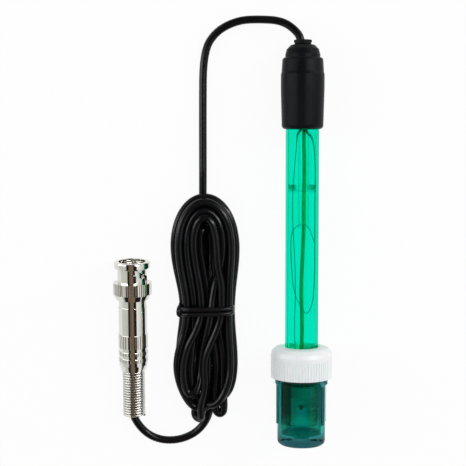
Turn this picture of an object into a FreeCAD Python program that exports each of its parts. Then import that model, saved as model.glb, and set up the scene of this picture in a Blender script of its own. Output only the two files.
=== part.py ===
import FreeCAD
import Part
import Sketcher

import math
import os
import re

from FreeCAD import Placement, Rotation, Vector

# A redox electrode: a clear tube with a platinum tip, a black cap, a screw-on storage bottle over
# the tip, a hanked cord and a bayonet plug. It lies on a table. +Z is up, the tube runs along Y
# with the cap towards +Y, and the plug lies to its left at -X. Lengths are in millimetres.
#
# The electrode's pieces are drawn upright about their own Z, with zero at the open end of the
# tube and the cap above it. The plug's pieces are drawn about Z too, with zero at its nose.

doc = FreeCAD.newDocument("redox_electrode")
sheet = doc.addObject("Spreadsheet::Sheet", "Sizes")

SIZES = (
    # How far a cut starts outside the piece it is made in
    ("cut_over", 1.0),
    # Body tube, with its guard round the tip
    ("tube_od", 12.0),
    ("tube_wall_thickness", 1.0),
    ("tube_length", 121.0),
    ("guard_slot_width", 4.4),
    ("guard_slot_depth", 7.0),
    ("guard_slots", 4),
    # Tip: the disc that closes the tube, the glass stem and the porous plug
    ("septum_at", 10.0),
    ("septum_thickness", 4.0),
    ("stem_radius", 1.6),
    ("stem_out_length", 3.6),
    ("stem_in_length", 6.0),
    ("platinum_radius", 0.9),
    ("platinum_length", 1.6),
    ("junction_radius", 0.7),
    ("junction_offset_length", 3.2),
    ("junction_proud_length", 0.3),
    # Filling, inner tube and leads
    ("gel_down_length", 35.0),
    ("inner_tube_radius", 2.0),
    ("inner_tube_wall_thickness", 0.4),
    ("inner_tube_offset_length", 0.45),
    ("inner_tube_length", 39.2),
    ("lead_radius", 0.68),
    ("wire_radius", 0.14),
    ("bung_length", 13.8),
    ("socket_depth", 3.0),
    # Black cap: rubber sleeve, domed end cap, resin and grommet
    ("sleeve_overlap_length", 14.5),
    ("sleeve_foot_radius", 7.45),
    ("sleeve_foot_round_radius", 1.3),
    ("sleeve_wide_height", 4.8),
    ("sleeve_wide_radius", 7.8),
    ("sleeve_step_height", 1.0),
    ("sleeve_neck_radius", 7.55),
    ("sleeve_shoulder_height", 6.0),
    ("sleeve_top_radius", 7.3),
    ("sleeve_top_round_radius", 0.9),
    ("dome_radius", 6.25),
    ("dome_height", 4.9),
    ("dome_round_radius", 3.8),
    ("dome_wall_thickness", 1.1),
    ("dome_roof_thickness", 5.2),
    ("resin_height", 8.0),
    ("grommet_stem_radius", 2.4),
    ("grommet_neck_radius", 2.95),
    ("grommet_rim_radius", 3.2),
    ("grommet_step_height", 0.5),
    ("grommet_rim_height", 1.3),
    # Storage bottle
    ("bottle_foot", -7.6),
    ("bottle_floor", -4.2),
    ("bottle_radius", 8.7),
    ("bottle_bore_radius", 7.3),
    ("bottle_foot_round_radius", 1.4),
    ("rib_top", 14.4),
    ("rib_foot", 0.2),
    ("rib_height", 0.55),
    ("rib_width", 1.1),
    ("ribs", 8),
    ("rib_swing", 11.0),
    ("flange_thickness", 1.8),
    ("flange_chamfer_length", 0.4),
    ("neck_radius", 8.3),
    ("neck_top", 24.0),
    # White screw cap, its seals and its slip washer
    ("gasket_thickness", 0.8),
    ("gasket_width", 1.15),
    ("flange_lip", 0.15),
    ("cap_wall_thickness", 2.5),
    ("cap_height", 11.1),
    ("cap_web_thickness", 2.4),
    ("cap_round_radius", 3.0),
    ("cap_hole_gap", 0.25),
    ("thread_gap", 0.3),
    ("flute_top", 6.7),
    ("flute_depth", 0.26),
    ("flutes", 64),
    ("slip_thickness", 0.4),
    ("seal_gap", 0.05),
    # Cord
    ("cord_radius", 1.45),
    ("cord_gap", 0.05),
    # Plug: bayonet nut
    ("nut_radius", 7.0),
    ("nut_bore_radius", 4.9),
    ("nut_rim_radius", 6.55),
    ("nut_rim_thickness", 2.5),
    ("nut_rim_round_radius", 0.5),
    ("nut_barrel_radius", 5.35),
    ("grip_from", 7.65),
    ("grip_to", 11.9),
    ("nut_length", 13.9),
    ("nut_tail_radius", 6.0),
    ("nut_web_from", 11.25),
    ("nut_flute_depth", 0.18),
    ("nut_flutes", 60),
    ("slot_width", 2.0),
    ("slot_start", 3.5),
    ("slot_rise", 2.9),
    ("slot_turn", 70.0),
    ("slot_from", 75.0),
    ("bayonet_slots", 2),
    ("slot_end_radius", 1.25),
    ("channel_radius", 5.75),
    # Plug: front body, insulator, pin and washers
    ("contact_radius", 4.05),
    ("contact_wall_thickness", 0.65),
    ("contact_nose", 1.2),
    ("contact_foot", 7.2),
    ("contact_slots", 4),
    ("contact_slot_width", 0.5),
    ("contact_slot_end", 3.9),
    ("shoulder_radius", 4.7),
    ("shoulder_from", 8.2),
    ("shoulder_thickness", 1.2),
    ("gasket_seat_radius", 4.3),
    ("front_neck_radius", 4.12),
    ("turn_gap", 0.08),
    ("tail_radius", 3.6),
    ("tail_bore_radius", 2.8),
    ("tail_end", 20.0),
    ("insulator_front", 5.0),
    ("insulator_back", 13.0),
    ("insulator_tube_radius", 2.3),
    ("insulator_nose", 2.2),
    ("pin_radius", 0.68),
    ("pin_nose", 1.9),
    ("pin_tail_radius", 1.2),
    ("pin_end", 18.0),
    ("washer_thickness", 0.45),
    ("washer_gap", 0.03),
    ("wave_thickness", 0.2),
    ("wave_bend_radius", 14.0),
    # Plug: back body, sleeve, clamp and spring
    ("collar_radius", 5.05),
    ("collar_from", 14.0),
    ("collar_thickness", 2.7),
    ("back_radius", 4.5),
    ("back_end", 26.0),
    ("back_bore_radius", 2.9),
    ("sleeve_radius", 5.2),
    ("knurl_from", 26.9),
    ("knurl_to", 31.8),
    ("knurl_radius", 5.38),
    ("ridge_one", 33.2),
    ("ridge_two", 35.7),
    ("ridge_width", 1.3),
    ("taper_from", 38.4),
    ("rear_end", 40.6),
    ("rear_end_radius", 4.5),
    ("sleeve_bore_radius", 3.7),
    ("knurl_flutes", 36),
    ("knurl_depth", 0.15),
    ("clamp_from", 28.0),
    ("clamp_length", 5.0),
    ("clamp_radius", 3.5),
    ("core_radius", 0.45),
    ("spring_radius", 4.15),
    ("spring_wire", 0.47),
    ("spring_groove_depth", 0.3),
    ("spring_pitch", 0.95),
    ("spring_seat_depth", 3.0),
    ("spring_end", 58.5),
    ("cord_stub_end", 47.0),
    # Where the plug lies beside the electrode
    ("plug_across", -61.5),
    ("plug_nose_along", -6.4),
    # Wire tie round the hank
    ("tie_radius", 0.9),
    ("tie_half_width", 10.1),
    ("tie_low", 1.0),
    ("tie_high", 9.6),
    ("tie_corner", 3.6),
    ("tie_across", -34.6),
    ("tie_along", -24.6),
)

# Sizes that follow from the ones above
WORKED_OUT = (
    ("gasket_radius", "neck_radius + gasket_width"),
    ("flange_radius", "gasket_radius + flange_lip"),
    ("cap_radius", "neck_radius + thread_gap + cap_wall_thickness"),
    ("gasket_from", "rib_top + flange_thickness"),
    ("cap_foot", "gasket_from + gasket_thickness"),
    ("cap_top", "cap_foot + cap_height"),
    ("cap_web_foot", "cap_top - cap_web_thickness"),
    ("cap_land", "cap_top - cap_round_radius"),
    ("slip_foot", "cap_web_foot - slip_thickness"),
    ("tube_radius", "tube_od / 2"),
    ("bore_radius", "tube_radius - tube_wall_thickness"),
    ("septum_top", "septum_at + septum_thickness"),
    ("bung_foot", "tube_length - bung_length"),
    ("gel_top", "tube_length - gel_down_length"),
    ("inner_tube_foot", "bung_foot + socket_depth - inner_tube_length"),
    ("sleeve_foot", "tube_length - sleeve_overlap_length"),
    ("sleeve_wide_at", "tube_length + sleeve_wide_height"),
    ("sleeve_top", "sleeve_wide_at + sleeve_shoulder_height"),
    ("dome_top", "sleeve_top + dome_height"),
    ("resin_top", "tube_length + resin_height"),
    ("grommet_top", "dome_top + grommet_rim_height"),
    ("lean", "atan((cap_radius - sleeve_wide_radius) / (sleeve_wide_at - cap_land))"),
    ("foot_flat", "bottle_radius - bottle_foot_round_radius"),
    ("tip_height", "cap_radius * cos(lean) + cap_land * sin(lean)"),
    ("middle_of_ends", "(grommet_top + bottle_foot) / 2 * cos(lean)"),
    ("tip_along", "-middle_of_ends - (grommet_rim_radius - foot_flat) / 2 * sin(lean)"),
    ("spring_from", "rear_end - spring_seat_depth"),
    ("plug_lean", "atan((nut_radius - spring_radius) / (spring_end - grip_to))"),
    ("nose_height", "nut_radius * cos(plug_lean) + grip_to * sin(plug_lean)"),
)

ALIASES = [alias for alias, _ in SIZES + WORKED_OUT]
WORDS = re.compile(r"[a-z_]+")


def bound(formula):
    """A formula as the model's objects read it, with the sheet's name before each size."""
    return WORDS.sub(lambda found: "Sizes." + found[0] if found[0] in ALIASES else found[0], formula)


for row, (alias, amount) in enumerate(SIZES + WORKED_OUT, start=1):
    sheet.set(f"A{row}", alias.replace("_", " "))
    sheet.setAlias(f"B{row}", alias)
    sheet.set(f"B{row}", "=" + amount if isinstance(amount, str) else str(amount))
sheet.recompute()

workings = doc.addObject("Spreadsheet::Sheet", "Workings")


def value(formula):
    """The number that a formula in the sheet's sizes comes to."""
    workings.set("A1", "=" + bound(formula))
    workings.recompute()
    found = workings.get("A1")
    return float(getattr(found, "Value", found))


def lay(made, group):
    """Lays an upright piece down with the electrode or with the plug."""
    along, height, angle, across = {
        "electrode": ("tip_along", "tip_height", "-90 deg - lean", "0"),
        "plug": ("plug_nose_along", "nose_height", "90 deg + plug_lean", "plug_across"),
    }[group]
    made.Placement = Placement(Vector(), Rotation(Vector(1, 0, 0), value(angle)))
    made.setExpression("Placement.Base.x", bound(across))
    made.setExpression("Placement.Base.y", bound(along))
    made.setExpression("Placement.Base.z", bound(height))
    made.setExpression("Placement.Rotation.Angle", bound(angle))


def placed(group):
    """The same place for a piece whose shape is set directly."""
    if group == "electrode":
        base = Vector(0, value("tip_along"), value("tip_height"))
        return Placement(base, Rotation(Vector(1, 0, 0), value("-90 deg - lean")))
    base = Vector(value("plug_across"), value("plug_nose_along"), value("nose_height"))
    return Placement(base, Rotation(Vector(1, 0, 0), value("90 deg + plug_lean")))


def new_body(label, group):
    made = doc.addObject("PartDesign::Body", label)
    made.Label = label
    lay(made, group)
    return made


def new_sketch(made, name, role, height="0", swing="0"):
    """A sketch on one of the body's own planes, raised along its normal or swung about Z."""
    sketch = made.newObject("Sketcher::SketchObject", name)
    plane = next(p for p in made.Origin.OriginFeatures if p.Role == role)
    sketch.AttachmentSupport = (plane, [""])
    sketch.MapMode = "FlatFace"
    if height != "0":
        sketch.setExpression("AttachmentOffset.Base.z", bound(height))
    if swing != "0":
        upright = Vector(0, 0, 1) if role == "XY_Plane" else Vector(0, 1, 0)
        sketch.AttachmentOffset = Placement(Vector(), Rotation(upright, value(swing)))
        sketch.setExpression("AttachmentOffset.Rotation.Angle", bound(swing))
    return sketch


def fix(sketch, kind, *where, formula):
    """A sketch dimension driven by a formula in the sheet's sizes."""
    number = sketch.addConstraint(Sketcher.Constraint(kind, *where, value(formula)))
    sketch.setExpression(f"Constraints[{number}]", bound(formula))


def draw_outline(sketch, outline):
    """A closed outline of straight edges through points given as pairs of formulas."""
    corners = [Vector(value(across), value(up), 0) for across, up in outline]
    count = len(corners)
    for here in range(count):
        sketch.addGeometry(Part.LineSegment(corners[here], corners[(here + 1) % count]), False)
    for here, (across, up) in enumerate(outline):
        sketch.addConstraint(Sketcher.Constraint("Coincident", here, 2, (here + 1) % count, 1))
        if across == "0":
            sketch.addConstraint(Sketcher.Constraint("PointOnObject", here, 1, -2))
        else:
            fix(sketch, "DistanceX", -1, 1, here, 1, formula=across)
        if up == "0":
            sketch.addConstraint(Sketcher.Constraint("PointOnObject", here, 1, -1))
        else:
            fix(sketch, "DistanceY", -1, 1, here, 1, formula=up)


def draw_circle(sketch, across, up, radius):
    """A circle at a point given by two formulas."""
    centre = Vector(value(across), value(up), 0)
    circle = sketch.addGeometry(Part.Circle(centre, Vector(0, 0, 1), value(radius)), False)
    fix(sketch, "Radius", circle, formula=radius)
    for kind, formula, axis in (("DistanceX", across, -2), ("DistanceY", up, -1)):
        if formula == "0":
            sketch.addConstraint(Sketcher.Constraint("PointOnObject", circle, 3, axis))
        else:
            fix(sketch, kind, -1, 1, circle, 3, formula=formula)


def turned(label, group, outline):
    """A body turned about Z from an outline of (radius, height) formulas."""
    made = new_body(label, group)
    sketch = new_sketch(made, label + "_section", "XZ_Plane")
    draw_outline(sketch, outline)
    turn = made.newObject("PartDesign::Revolution", label + "_turn")
    turn.Profile = sketch
    turn.ReferenceAxis = (sketch, ["V_Axis"])
    turn.Angle = 360
    doc.recompute()
    return made


ROUND_STEPS = (30, 60)


def outer_round(radius, height, size, below=False):
    """Points that round an outline's outer corner, in the order of an outline that climbs it.

    A lower corner has its body above it, and an upper corner has its body below it.
    """
    side = "+" if below else "-"
    points = [
        (f"{radius} - {size}", height),
        *((f"{radius} - {size} * (1 - sin({step} deg))", f"{height} {side} {size} * (1 - cos({step} deg))")
          for step in ROUND_STEPS),
        (radius, f"{height} {side} {size}"),
    ]
    return points if below else points[::-1]


def repeated(made, features, count, axis="N_Axis"):
    """Features repeated round the body's Z axis."""
    pattern = made.newObject("PartDesign::PolarPattern", features[0].Name + "_ring")
    pattern.Originals = features
    pattern.Axis = (features[0].Profile[0], [axis])
    pattern.Angle = 360
    pattern.setExpression("Occurrences", bound(count))
    made.Tip = pattern
    doc.recompute()


def fluted(made, name, rim, deep, foot, height, count):
    """Pointed flutes cut along the body's rim from one height upwards, with a land at +Y and -Y."""
    sketch = new_sketch(made, name + "_end", "XY_Plane", foot, f"90 - 180 / {count}")
    draw_outline(sketch, [
        (f"{rim} - {deep}", "0"),
        (f"{rim} + {deep}", f"-2 * {deep}"),
        (f"{rim} + {deep}", f"2 * {deep}"),
    ])
    cut = made.newObject("PartDesign::Pocket", name)
    cut.Profile = sketch
    cut.setExpression("Length", bound(height))
    cut.Reversed = True
    doc.recompute()
    repeated(made, [cut], count)


def straight_and_round(points):
    """A route through points: straight runs joined by tangent arcs, and the arcs' radii."""
    edges = []
    radii = []
    here = points[0]
    for before, corner, after in zip(points, points[1:], points[2:]):
        back = before - corner
        onward = after - corner
        short = min(back.Length, onward.Length)
        turn = math.pi - back.getAngle(onward)
        reach = 0.45 * short
        radius = reach / math.tan(turn / 2)
        start = corner + back.normalize() * reach
        stop = corner + onward.normalize() * reach
        inward = (start + stop) * 0.5 - corner
        sagitta = radius * (1 / math.cos(turn / 2) - 1)
        middle = corner + inward.normalize() * sagitta
        edges.append(Part.LineSegment(here, start).toShape())
        edges.append(Part.Arc(start, middle, stop).toShape())
        radii.append(radius)
        here = stop
    edges.append(Part.LineSegment(here, points[-1]).toShape())
    return Part.Wire(edges), radii


def many_sided(centre, facing, radius, sides):
    """A regular outline round a point, square to a direction."""
    turn = Rotation(Vector(0, 0, 1), facing)
    angles = [2 * math.pi * (side + 0.5) / sides for side in range(sides)]
    corners = [centre + turn.multVec(Vector(math.cos(a), math.sin(a), 0)) * radius for a in angles]
    return Part.makePolygon(corners + corners[:1])


def soft_bar(points, radius, sides):
    """A bar of regular section along straight runs and tangent arcs."""
    route, radii = straight_and_round(points)
    end = many_sided(points[0], points[1] - points[0], radius, sides)
    return route.makePipeShell([end], True, False), radii, route.Length


def shaped(label, shape, placement=None):
    """A piece whose shape is set directly, then laid in its place."""
    made = doc.addObject("Part::Feature", label)
    made.Label = label
    made.Shape = shape
    if placement is not None:
        made.Placement = placement
    return made


# The body tube: open at the foot, where four slots make a guard round the tip.
body_tube = turned("body_tube", "electrode", [
    ("bore_radius", "0"),
    ("tube_radius", "0"),
    ("tube_radius", "tube_length"),
    ("bore_radius", "tube_length"),
])
guard_sketch = new_sketch(body_tube, "guard_slot_face", "XZ_Plane")
draw_outline(guard_sketch, [
    ("-guard_slot_width / 2", "-cut_over"),
    ("guard_slot_width / 2", "-cut_over"),
    ("guard_slot_width / 2", "guard_slot_depth"),
    ("-guard_slot_width / 2", "guard_slot_depth"),
])
guard_slot = body_tube.newObject("PartDesign::Pocket", "guard_slot")
guard_slot.Profile = guard_sketch
guard_slot.setExpression("Length", bound("tube_od"))
doc.recompute()
repeated(body_tube, [guard_slot], "guard_slots", "V_Axis")

# The disc that closes the tube above the guard, with holes for the stem and the porous plug.
tip_plug = turned("tip_plug", "electrode", [
    ("stem_radius", "septum_at"),
    ("bore_radius", "septum_at"),
    ("bore_radius", "septum_top"),
    ("stem_radius", "septum_top"),
])
junction_sketch = new_sketch(tip_plug, "junction_hole_face", "XY_Plane", "septum_at")
draw_circle(junction_sketch, "-junction_offset_length", "0", "junction_radius")
junction_hole = tip_plug.newObject("PartDesign::Pocket", "junction_hole")
junction_hole.Profile = junction_sketch
junction_hole.setExpression("Length", bound("septum_thickness"))
junction_hole.Reversed = True
doc.recompute()

# The porous plug that joins the gel to the liquid outside.
junction = new_body("junction", "electrode")
junction_end = new_sketch(junction, "junction_end", "XY_Plane", "septum_at - junction_proud_length")
draw_circle(junction_end, "-junction_offset_length", "0", "junction_radius")
junction_rod = junction.newObject("PartDesign::Pad", "junction_rod")
junction_rod.Profile = junction_end
junction_rod.setExpression("Length", bound("septum_thickness + 2 * junction_proud_length"))
doc.recompute()

# The glass stem, and the platinum bead melted into its end.
sensor_stem = turned("sensor_stem", "electrode", [
    ("0", "septum_at - stem_out_length"),
    *outer_round("stem_radius", "septum_at - stem_out_length", "stem_radius * 0.4", below=True),
    ("stem_radius", "septum_top + stem_in_length"),
    ("0", "septum_top + stem_in_length"),
])
platinum_tip = turned("platinum_tip", "electrode", [
    ("0", "septum_at - stem_out_length - platinum_length"),
    ("platinum_radius / 2", "septum_at - stem_out_length - platinum_length"),
    ("platinum_radius", "septum_at - stem_out_length - platinum_length / 2"),
    ("platinum_radius", "septum_at - stem_out_length"),
    ("0", "septum_at - stem_out_length"),
])

# The rubber bung in the tube's upper end, bored for the lead and recessed for the inner tube.
seal_plug = turned("seal_plug", "electrode", [
    ("0", "bung_foot"),
    ("bore_radius", "bung_foot"),
    ("bore_radius", "tube_length"),
    ("0", "tube_length"),
])
for name, off, radius, deep in (
    ("inner_tube_socket", "inner_tube_offset_length", "inner_tube_radius", "socket_depth"),
    ("lead_hole", "inner_tube_offset_length", "lead_radius", "tube_length - bung_foot"),
):
    hole_sketch = new_sketch(seal_plug, name + "_face", "XY_Plane", "bung_foot")
    draw_circle(hole_sketch, off, "0", radius)
    hole = seal_plug.newObject("PartDesign::Pocket", name)
    hole.Profile = hole_sketch
    hole.setExpression("Length", bound(deep))
    hole.Reversed = True
    doc.recompute()

# The inner glass tube round the lead.
reference_tube = new_body("reference_tube", "electrode")
inner_sketch = new_sketch(reference_tube, "inner_tube_end", "XY_Plane", "inner_tube_foot")
draw_circle(inner_sketch, "inner_tube_offset_length", "0", "inner_tube_radius")
draw_circle(inner_sketch, "inner_tube_offset_length", "0", "inner_tube_radius - inner_tube_wall_thickness")
inner_wall = reference_tube.newObject("PartDesign::Pad", "inner_tube_wall_pad")
inner_wall.Profile = inner_sketch
inner_wall.setExpression("Length", bound("bung_foot + socket_depth - inner_tube_foot"))
doc.recompute()

# The insulated lead from the resin down to the glass stem. It wanders a little, and its ends
# run straight into the bung and onto the stem.
LEAD_SIDES = 6
lead_foot = value("septum_top + stem_in_length")
bung_foot = value("bung_foot")
lead_off = value("inner_tube_offset_length")


def inside(across, out, share):
    """A point in the tube: across it, towards its back, and up it as a share of the way to the bung."""
    return Vector(across, out, lead_foot + share * (bung_foot - lead_foot))


LEAD_ROUTE = [
    Vector(lead_off, 0, value("tube_length")),
    inside(lead_off, 0, 0.953),
    inside(lead_off + 0.35, -0.1, 0.826),
    inside(lead_off + 0.1, 0.2, 0.688),
    inside(lead_off + 0.2, 0, 0.573),
    inside(-0.3, -0.3, 0.344),
    inside(0.2, 0.1, 0.206),
    inside(0.1, 0, 0.103),
    inside(0, 0, 0),
]
lead_shape, _, _ = soft_bar(LEAD_ROUTE, value("lead_radius"), LEAD_SIDES)
sensor_lead = shaped("sensor_lead", lead_shape, placed("electrode"))

# The fine silver wire: down the right-hand wall, then a long loose loop in the gel.
WIRE_SIDES = 3
REFERENCE_ROUTE = [
    inside(2.8, -1.6, 1),
    inside(3.2, -1.9, 0.92),
    inside(4.4, -1.5, 0.82),
    inside(4.1, -2.1, 0.70),
    inside(4.4, -1.6, 0.50),
    inside(4.3, -1.7, 0.34),
    inside(3.6, -2.4, 0.27),
    inside(1.6, -2.8, 0.225),
    inside(-0.6, -2.9, 0.265),
    inside(-2.8, -2.7, 0.315),
    inside(-3.5, -2.4, 0.40),
    inside(-3.3, -2.7, 0.49),
    inside(-2.6, -2.9, 0.58),
    inside(-0.4, -3.2, 0.602),
    inside(2.4, -3.0, 0.573),
    inside(3.0, -2.7, 0.521),
]
reference_shape, _, _ = soft_bar(REFERENCE_ROUTE, value("wire_radius"), WIRE_SIDES)
reference_wire = shaped("reference_wire", reference_shape, placed("electrode"))

# The bare wire down the left-hand side.
GROUND_ROUTE = [
    inside(-1.8, -1.2, 1),
    inside(-2.4, -1.6, 0.894),
    inside(-3.4, -1.0, 0.757),
    inside(-3.5, -1.6, 0.607),
    inside(-2.5, -1.1, 0.459),
    inside(-2.3, -1.6, 0.298),
    inside(-2.7, -1.0, 0.149),
    inside(-2.1, -1.4, 0.023),
]
ground_shape, _, _ = soft_bar(GROUND_ROUTE, value("wire_radius"), WIRE_SIDES)
ground_wire = shaped("ground_wire", ground_shape, placed("electrode"))

# The gel fills the tube up to its level, round everything that stands in it.
gel_block = doc.addObject("Part::Cylinder", "gel_block")
gel_block.setExpression("Radius", bound("bore_radius"))
gel_block.setExpression("Height", bound("gel_top - septum_top"))
gel_block.Placement = placed("electrode").multiply(Placement(Vector(0, 0, value("septum_top")),
                                                             Rotation()))
in_the_gel = doc.addObject("Part::Compound", "in_the_gel")
in_the_gel.Links = [reference_tube, sensor_lead, reference_wire, ground_wire, sensor_stem, junction]
gel_fill = doc.addObject("Part::Cut", "gel_fill")
gel_fill.Label = "gel_fill"
gel_fill.Base = gel_block
gel_fill.Tool = in_the_gel
doc.recompute()

# The rubber sleeve over the cap: widest above its middle, with a small step and round shoulders.
cap_sleeve = turned("cap_sleeve", "electrode", [
    ("tube_radius", "sleeve_foot"),
    *outer_round("sleeve_foot_radius", "sleeve_foot", "sleeve_foot_round_radius", below=True),
    ("sleeve_wide_radius", "sleeve_wide_at - sleeve_wide_height"),
    ("sleeve_wide_radius", "sleeve_wide_at"),
    ("sleeve_neck_radius", "sleeve_wide_at + sleeve_step_height"),
    *outer_round("sleeve_top_radius", "sleeve_top", "sleeve_top_round_radius"),
    ("dome_radius", "sleeve_top"),
    ("dome_radius", "tube_length"),
    ("tube_radius", "tube_length"),
])

# The domed end cap on the tube's end, hollow for the resin and bored for the grommet.
end_cap = turned("end_cap", "electrode", [
    ("dome_radius - dome_wall_thickness", "tube_length"),
    ("dome_radius", "tube_length"),
    *outer_round("dome_radius", "dome_top", "dome_round_radius"),
    ("grommet_stem_radius", "dome_top"),
    ("grommet_stem_radius", "dome_top - dome_roof_thickness"),
    ("dome_radius - dome_wall_thickness", "dome_top - dome_roof_thickness"),
])

# The resin that holds the cord's end.
potting = turned("potting", "electrode", [
    ("0", "tube_length"),
    ("dome_radius - dome_wall_thickness", "tube_length"),
    ("dome_radius - dome_wall_thickness", "resin_top"),
    ("0", "resin_top"),
])

# The grommet that the cord leaves by, with a flared mouth.
cable_grommet = turned("cable_grommet", "electrode", [
    ("cord_radius + cord_gap", "dome_top - dome_roof_thickness"),
    ("grommet_stem_radius", "dome_top - dome_roof_thickness"),
    ("grommet_stem_radius", "dome_top"),
    ("grommet_neck_radius", "dome_top"),
    ("grommet_neck_radius", "dome_top + grommet_step_height"),
    ("grommet_rim_radius", "dome_top + grommet_step_height"),
    ("grommet_rim_radius", "grommet_top"),
    ("cord_radius + cord_gap", "grommet_top"),
])

# The storage bottle: a thick floor, grip ribs, a flange and a neck for the screw cap.
storage_bottle = turned("storage_bottle", "electrode", [
    ("0", "bottle_foot"),
    *outer_round("bottle_radius", "bottle_foot", "bottle_foot_round_radius", below=True),
    ("bottle_radius", "rib_top"),
    ("flange_radius - flange_chamfer_length", "rib_top"),
    ("flange_radius", "rib_top + flange_chamfer_length"),
    ("flange_radius", "gasket_from - flange_chamfer_length"),
    ("flange_radius - flange_chamfer_length", "gasket_from"),
    ("neck_radius", "gasket_from"),
    ("neck_radius", "neck_top"),
    ("bottle_bore_radius", "neck_top"),
    ("bottle_bore_radius", "bottle_floor + bottle_foot_round_radius / 2"),
    ("bottle_bore_radius - bottle_foot_round_radius / 2", "bottle_floor"),
    ("0", "bottle_floor"),
])
rib_sketch = new_sketch(storage_bottle, "rib_end", "XY_Plane", "rib_foot", "rib_swing")
draw_outline(rib_sketch, [
    ("bottle_radius - rib_height", "-rib_width / 2"),
    ("bottle_radius + rib_height", "-rib_width / 2"),
    ("bottle_radius + rib_height", "rib_width / 2"),
    ("bottle_radius - rib_height", "rib_width / 2"),
])
rib = storage_bottle.newObject("PartDesign::Pad", "rib")
rib.Profile = rib_sketch
rib.setExpression("Length", bound("rib_top - rib_foot"))
doc.recompute()
repeated(storage_bottle, [rib], "ribs")

# The black gasket between the bottle's flange and the screw cap.
neck_gasket = turned("neck_gasket", "electrode", [
    ("neck_radius", "gasket_from"),
    ("gasket_radius", "gasket_from"),
    ("gasket_radius", "cap_foot"),
    ("neck_radius", "cap_foot"),
])

# The rubber ring on the neck that grips the tube, and the slip washer over it.
seal_ring = turned("seal_ring", "electrode", [
    ("tube_radius + seal_gap", "neck_top"),
    ("neck_radius", "neck_top"),
    ("neck_radius", "slip_foot"),
    ("tube_radius + seal_gap", "slip_foot"),
])
slip_washer = turned("slip_washer", "electrode", [
    ("tube_radius + cap_hole_gap", "slip_foot"),
    ("neck_radius", "slip_foot"),
    ("neck_radius", "cap_web_foot"),
    ("tube_radius + cap_hole_gap", "cap_web_foot"),
])

# The white screw cap: a round-shouldered ring with fine flutes below a plain band.
bottle_cap = turned("bottle_cap", "electrode", [
    ("neck_radius + thread_gap", "cap_foot"),
    ("cap_radius", "cap_foot"),
    *outer_round("cap_radius", "cap_top", "cap_round_radius"),
    ("tube_radius + cap_hole_gap", "cap_top"),
    ("tube_radius + cap_hole_gap", "cap_web_foot"),
    ("neck_radius + thread_gap", "cap_web_foot"),
])
fluted(bottle_cap, "cap_flute", "cap_radius", "flute_depth", "cap_foot - cut_over", "flute_top + cut_over",
       "flutes")

# The plug's front body: a slotted contact sleeve, a shoulder, a neck for the nut and a tail.
connector_body = turned("connector_body", "plug", [
    ("contact_radius - contact_wall_thickness", "contact_nose"),
    ("contact_radius", "contact_nose"),
    ("contact_radius", "contact_foot"),
    ("gasket_seat_radius", "contact_foot"),
    ("gasket_seat_radius", "shoulder_from"),
    ("shoulder_radius", "shoulder_from"),
    ("shoulder_radius", "shoulder_from + shoulder_thickness"),
    ("front_neck_radius", "shoulder_from + shoulder_thickness"),
    ("front_neck_radius", "collar_from"),
    ("tail_radius", "collar_from"),
    ("tail_radius", "tail_end"),
    ("tail_bore_radius", "tail_end"),
    ("tail_bore_radius", "insulator_back"),
    ("contact_radius - contact_wall_thickness", "insulator_back"),
])
contact_sketch = new_sketch(connector_body, "contact_slot_face", "XZ_Plane")
draw_outline(contact_sketch, [
    ("-contact_slot_width / 2", "contact_nose - cut_over"),
    ("contact_slot_width / 2", "contact_nose - cut_over"),
    ("contact_slot_width / 2", "contact_slot_end"),
    ("-contact_slot_width / 2", "contact_slot_end"),
])
contact_slot = connector_body.newObject("PartDesign::Pocket", "contact_slot")
contact_slot.Profile = contact_sketch
contact_slot.setExpression("Length", bound("contact_radius * 2"))
doc.recompute()
repeated(connector_body, [contact_slot], "contact_slots", "V_Axis")

# The rubber ring at the foot of the contact sleeve.
face_gasket = turned("face_gasket", "plug", [
    ("gasket_seat_radius", "contact_foot"),
    ("shoulder_radius", "contact_foot"),
    ("shoulder_radius", "shoulder_from"),
    ("gasket_seat_radius", "shoulder_from"),
])

# The white insulator and the centre pin in it.
insulator = turned("insulator", "plug", [
    ("pin_radius", "insulator_nose"),
    ("insulator_tube_radius", "insulator_nose"),
    ("insulator_tube_radius", "insulator_front"),
    ("contact_radius - contact_wall_thickness", "insulator_front"),
    ("contact_radius - contact_wall_thickness", "insulator_back"),
    ("pin_radius", "insulator_back"),
])
centre_pin = turned("centre_pin", "plug", [
    ("0", "pin_nose"),
    ("pin_radius / 2", "pin_nose"),
    ("pin_radius", "pin_nose + pin_radius / 2"),
    ("pin_radius", "insulator_back"),
    ("pin_tail_radius", "insulator_back"),
    ("pin_tail_radius", "pin_end"),
    ("0", "pin_end"),
])

# The spring washer behind the shoulder: a flat ring bent to a gentle curve.
wave_ring = doc.addObject("Part::Cylinder", "wave_ring")
wave_ring.setExpression("Radius", bound("shoulder_radius"))
wave_hole = doc.addObject("Part::Cylinder", "wave_hole")
wave_hole.setExpression("Radius", bound("front_neck_radius + turn_gap"))
wave_outer = doc.addObject("Part::Cylinder", "wave_outer")
wave_outer.setExpression("Radius", bound("wave_bend_radius"))
wave_inner = doc.addObject("Part::Cylinder", "wave_inner")
wave_inner.setExpression("Radius", bound("wave_bend_radius - wave_thickness"))
wave_front = value("shoulder_from + shoulder_thickness")
wave_room = value("nut_web_from - washer_thickness - shoulder_from - shoulder_thickness")
for blank in (wave_ring, wave_hole):
    blank.Height = wave_room
    blank.Placement = placed("plug").multiply(Placement(Vector(0, 0, wave_front), Rotation()))
for blank in (wave_outer, wave_inner):
    blank.Height = value("3 * shoulder_radius")
    crown = Vector(-blank.Height.Value / 2, 0, wave_front + value("washer_gap + wave_bend_radius"))
    blank.Placement = placed("plug").multiply(Placement(crown, Rotation(Vector(0, 1, 0), 90)))
flat_washer = doc.addObject("Part::Cut", "flat_washer")
flat_washer.Base = wave_ring
flat_washer.Tool = wave_hole
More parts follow.
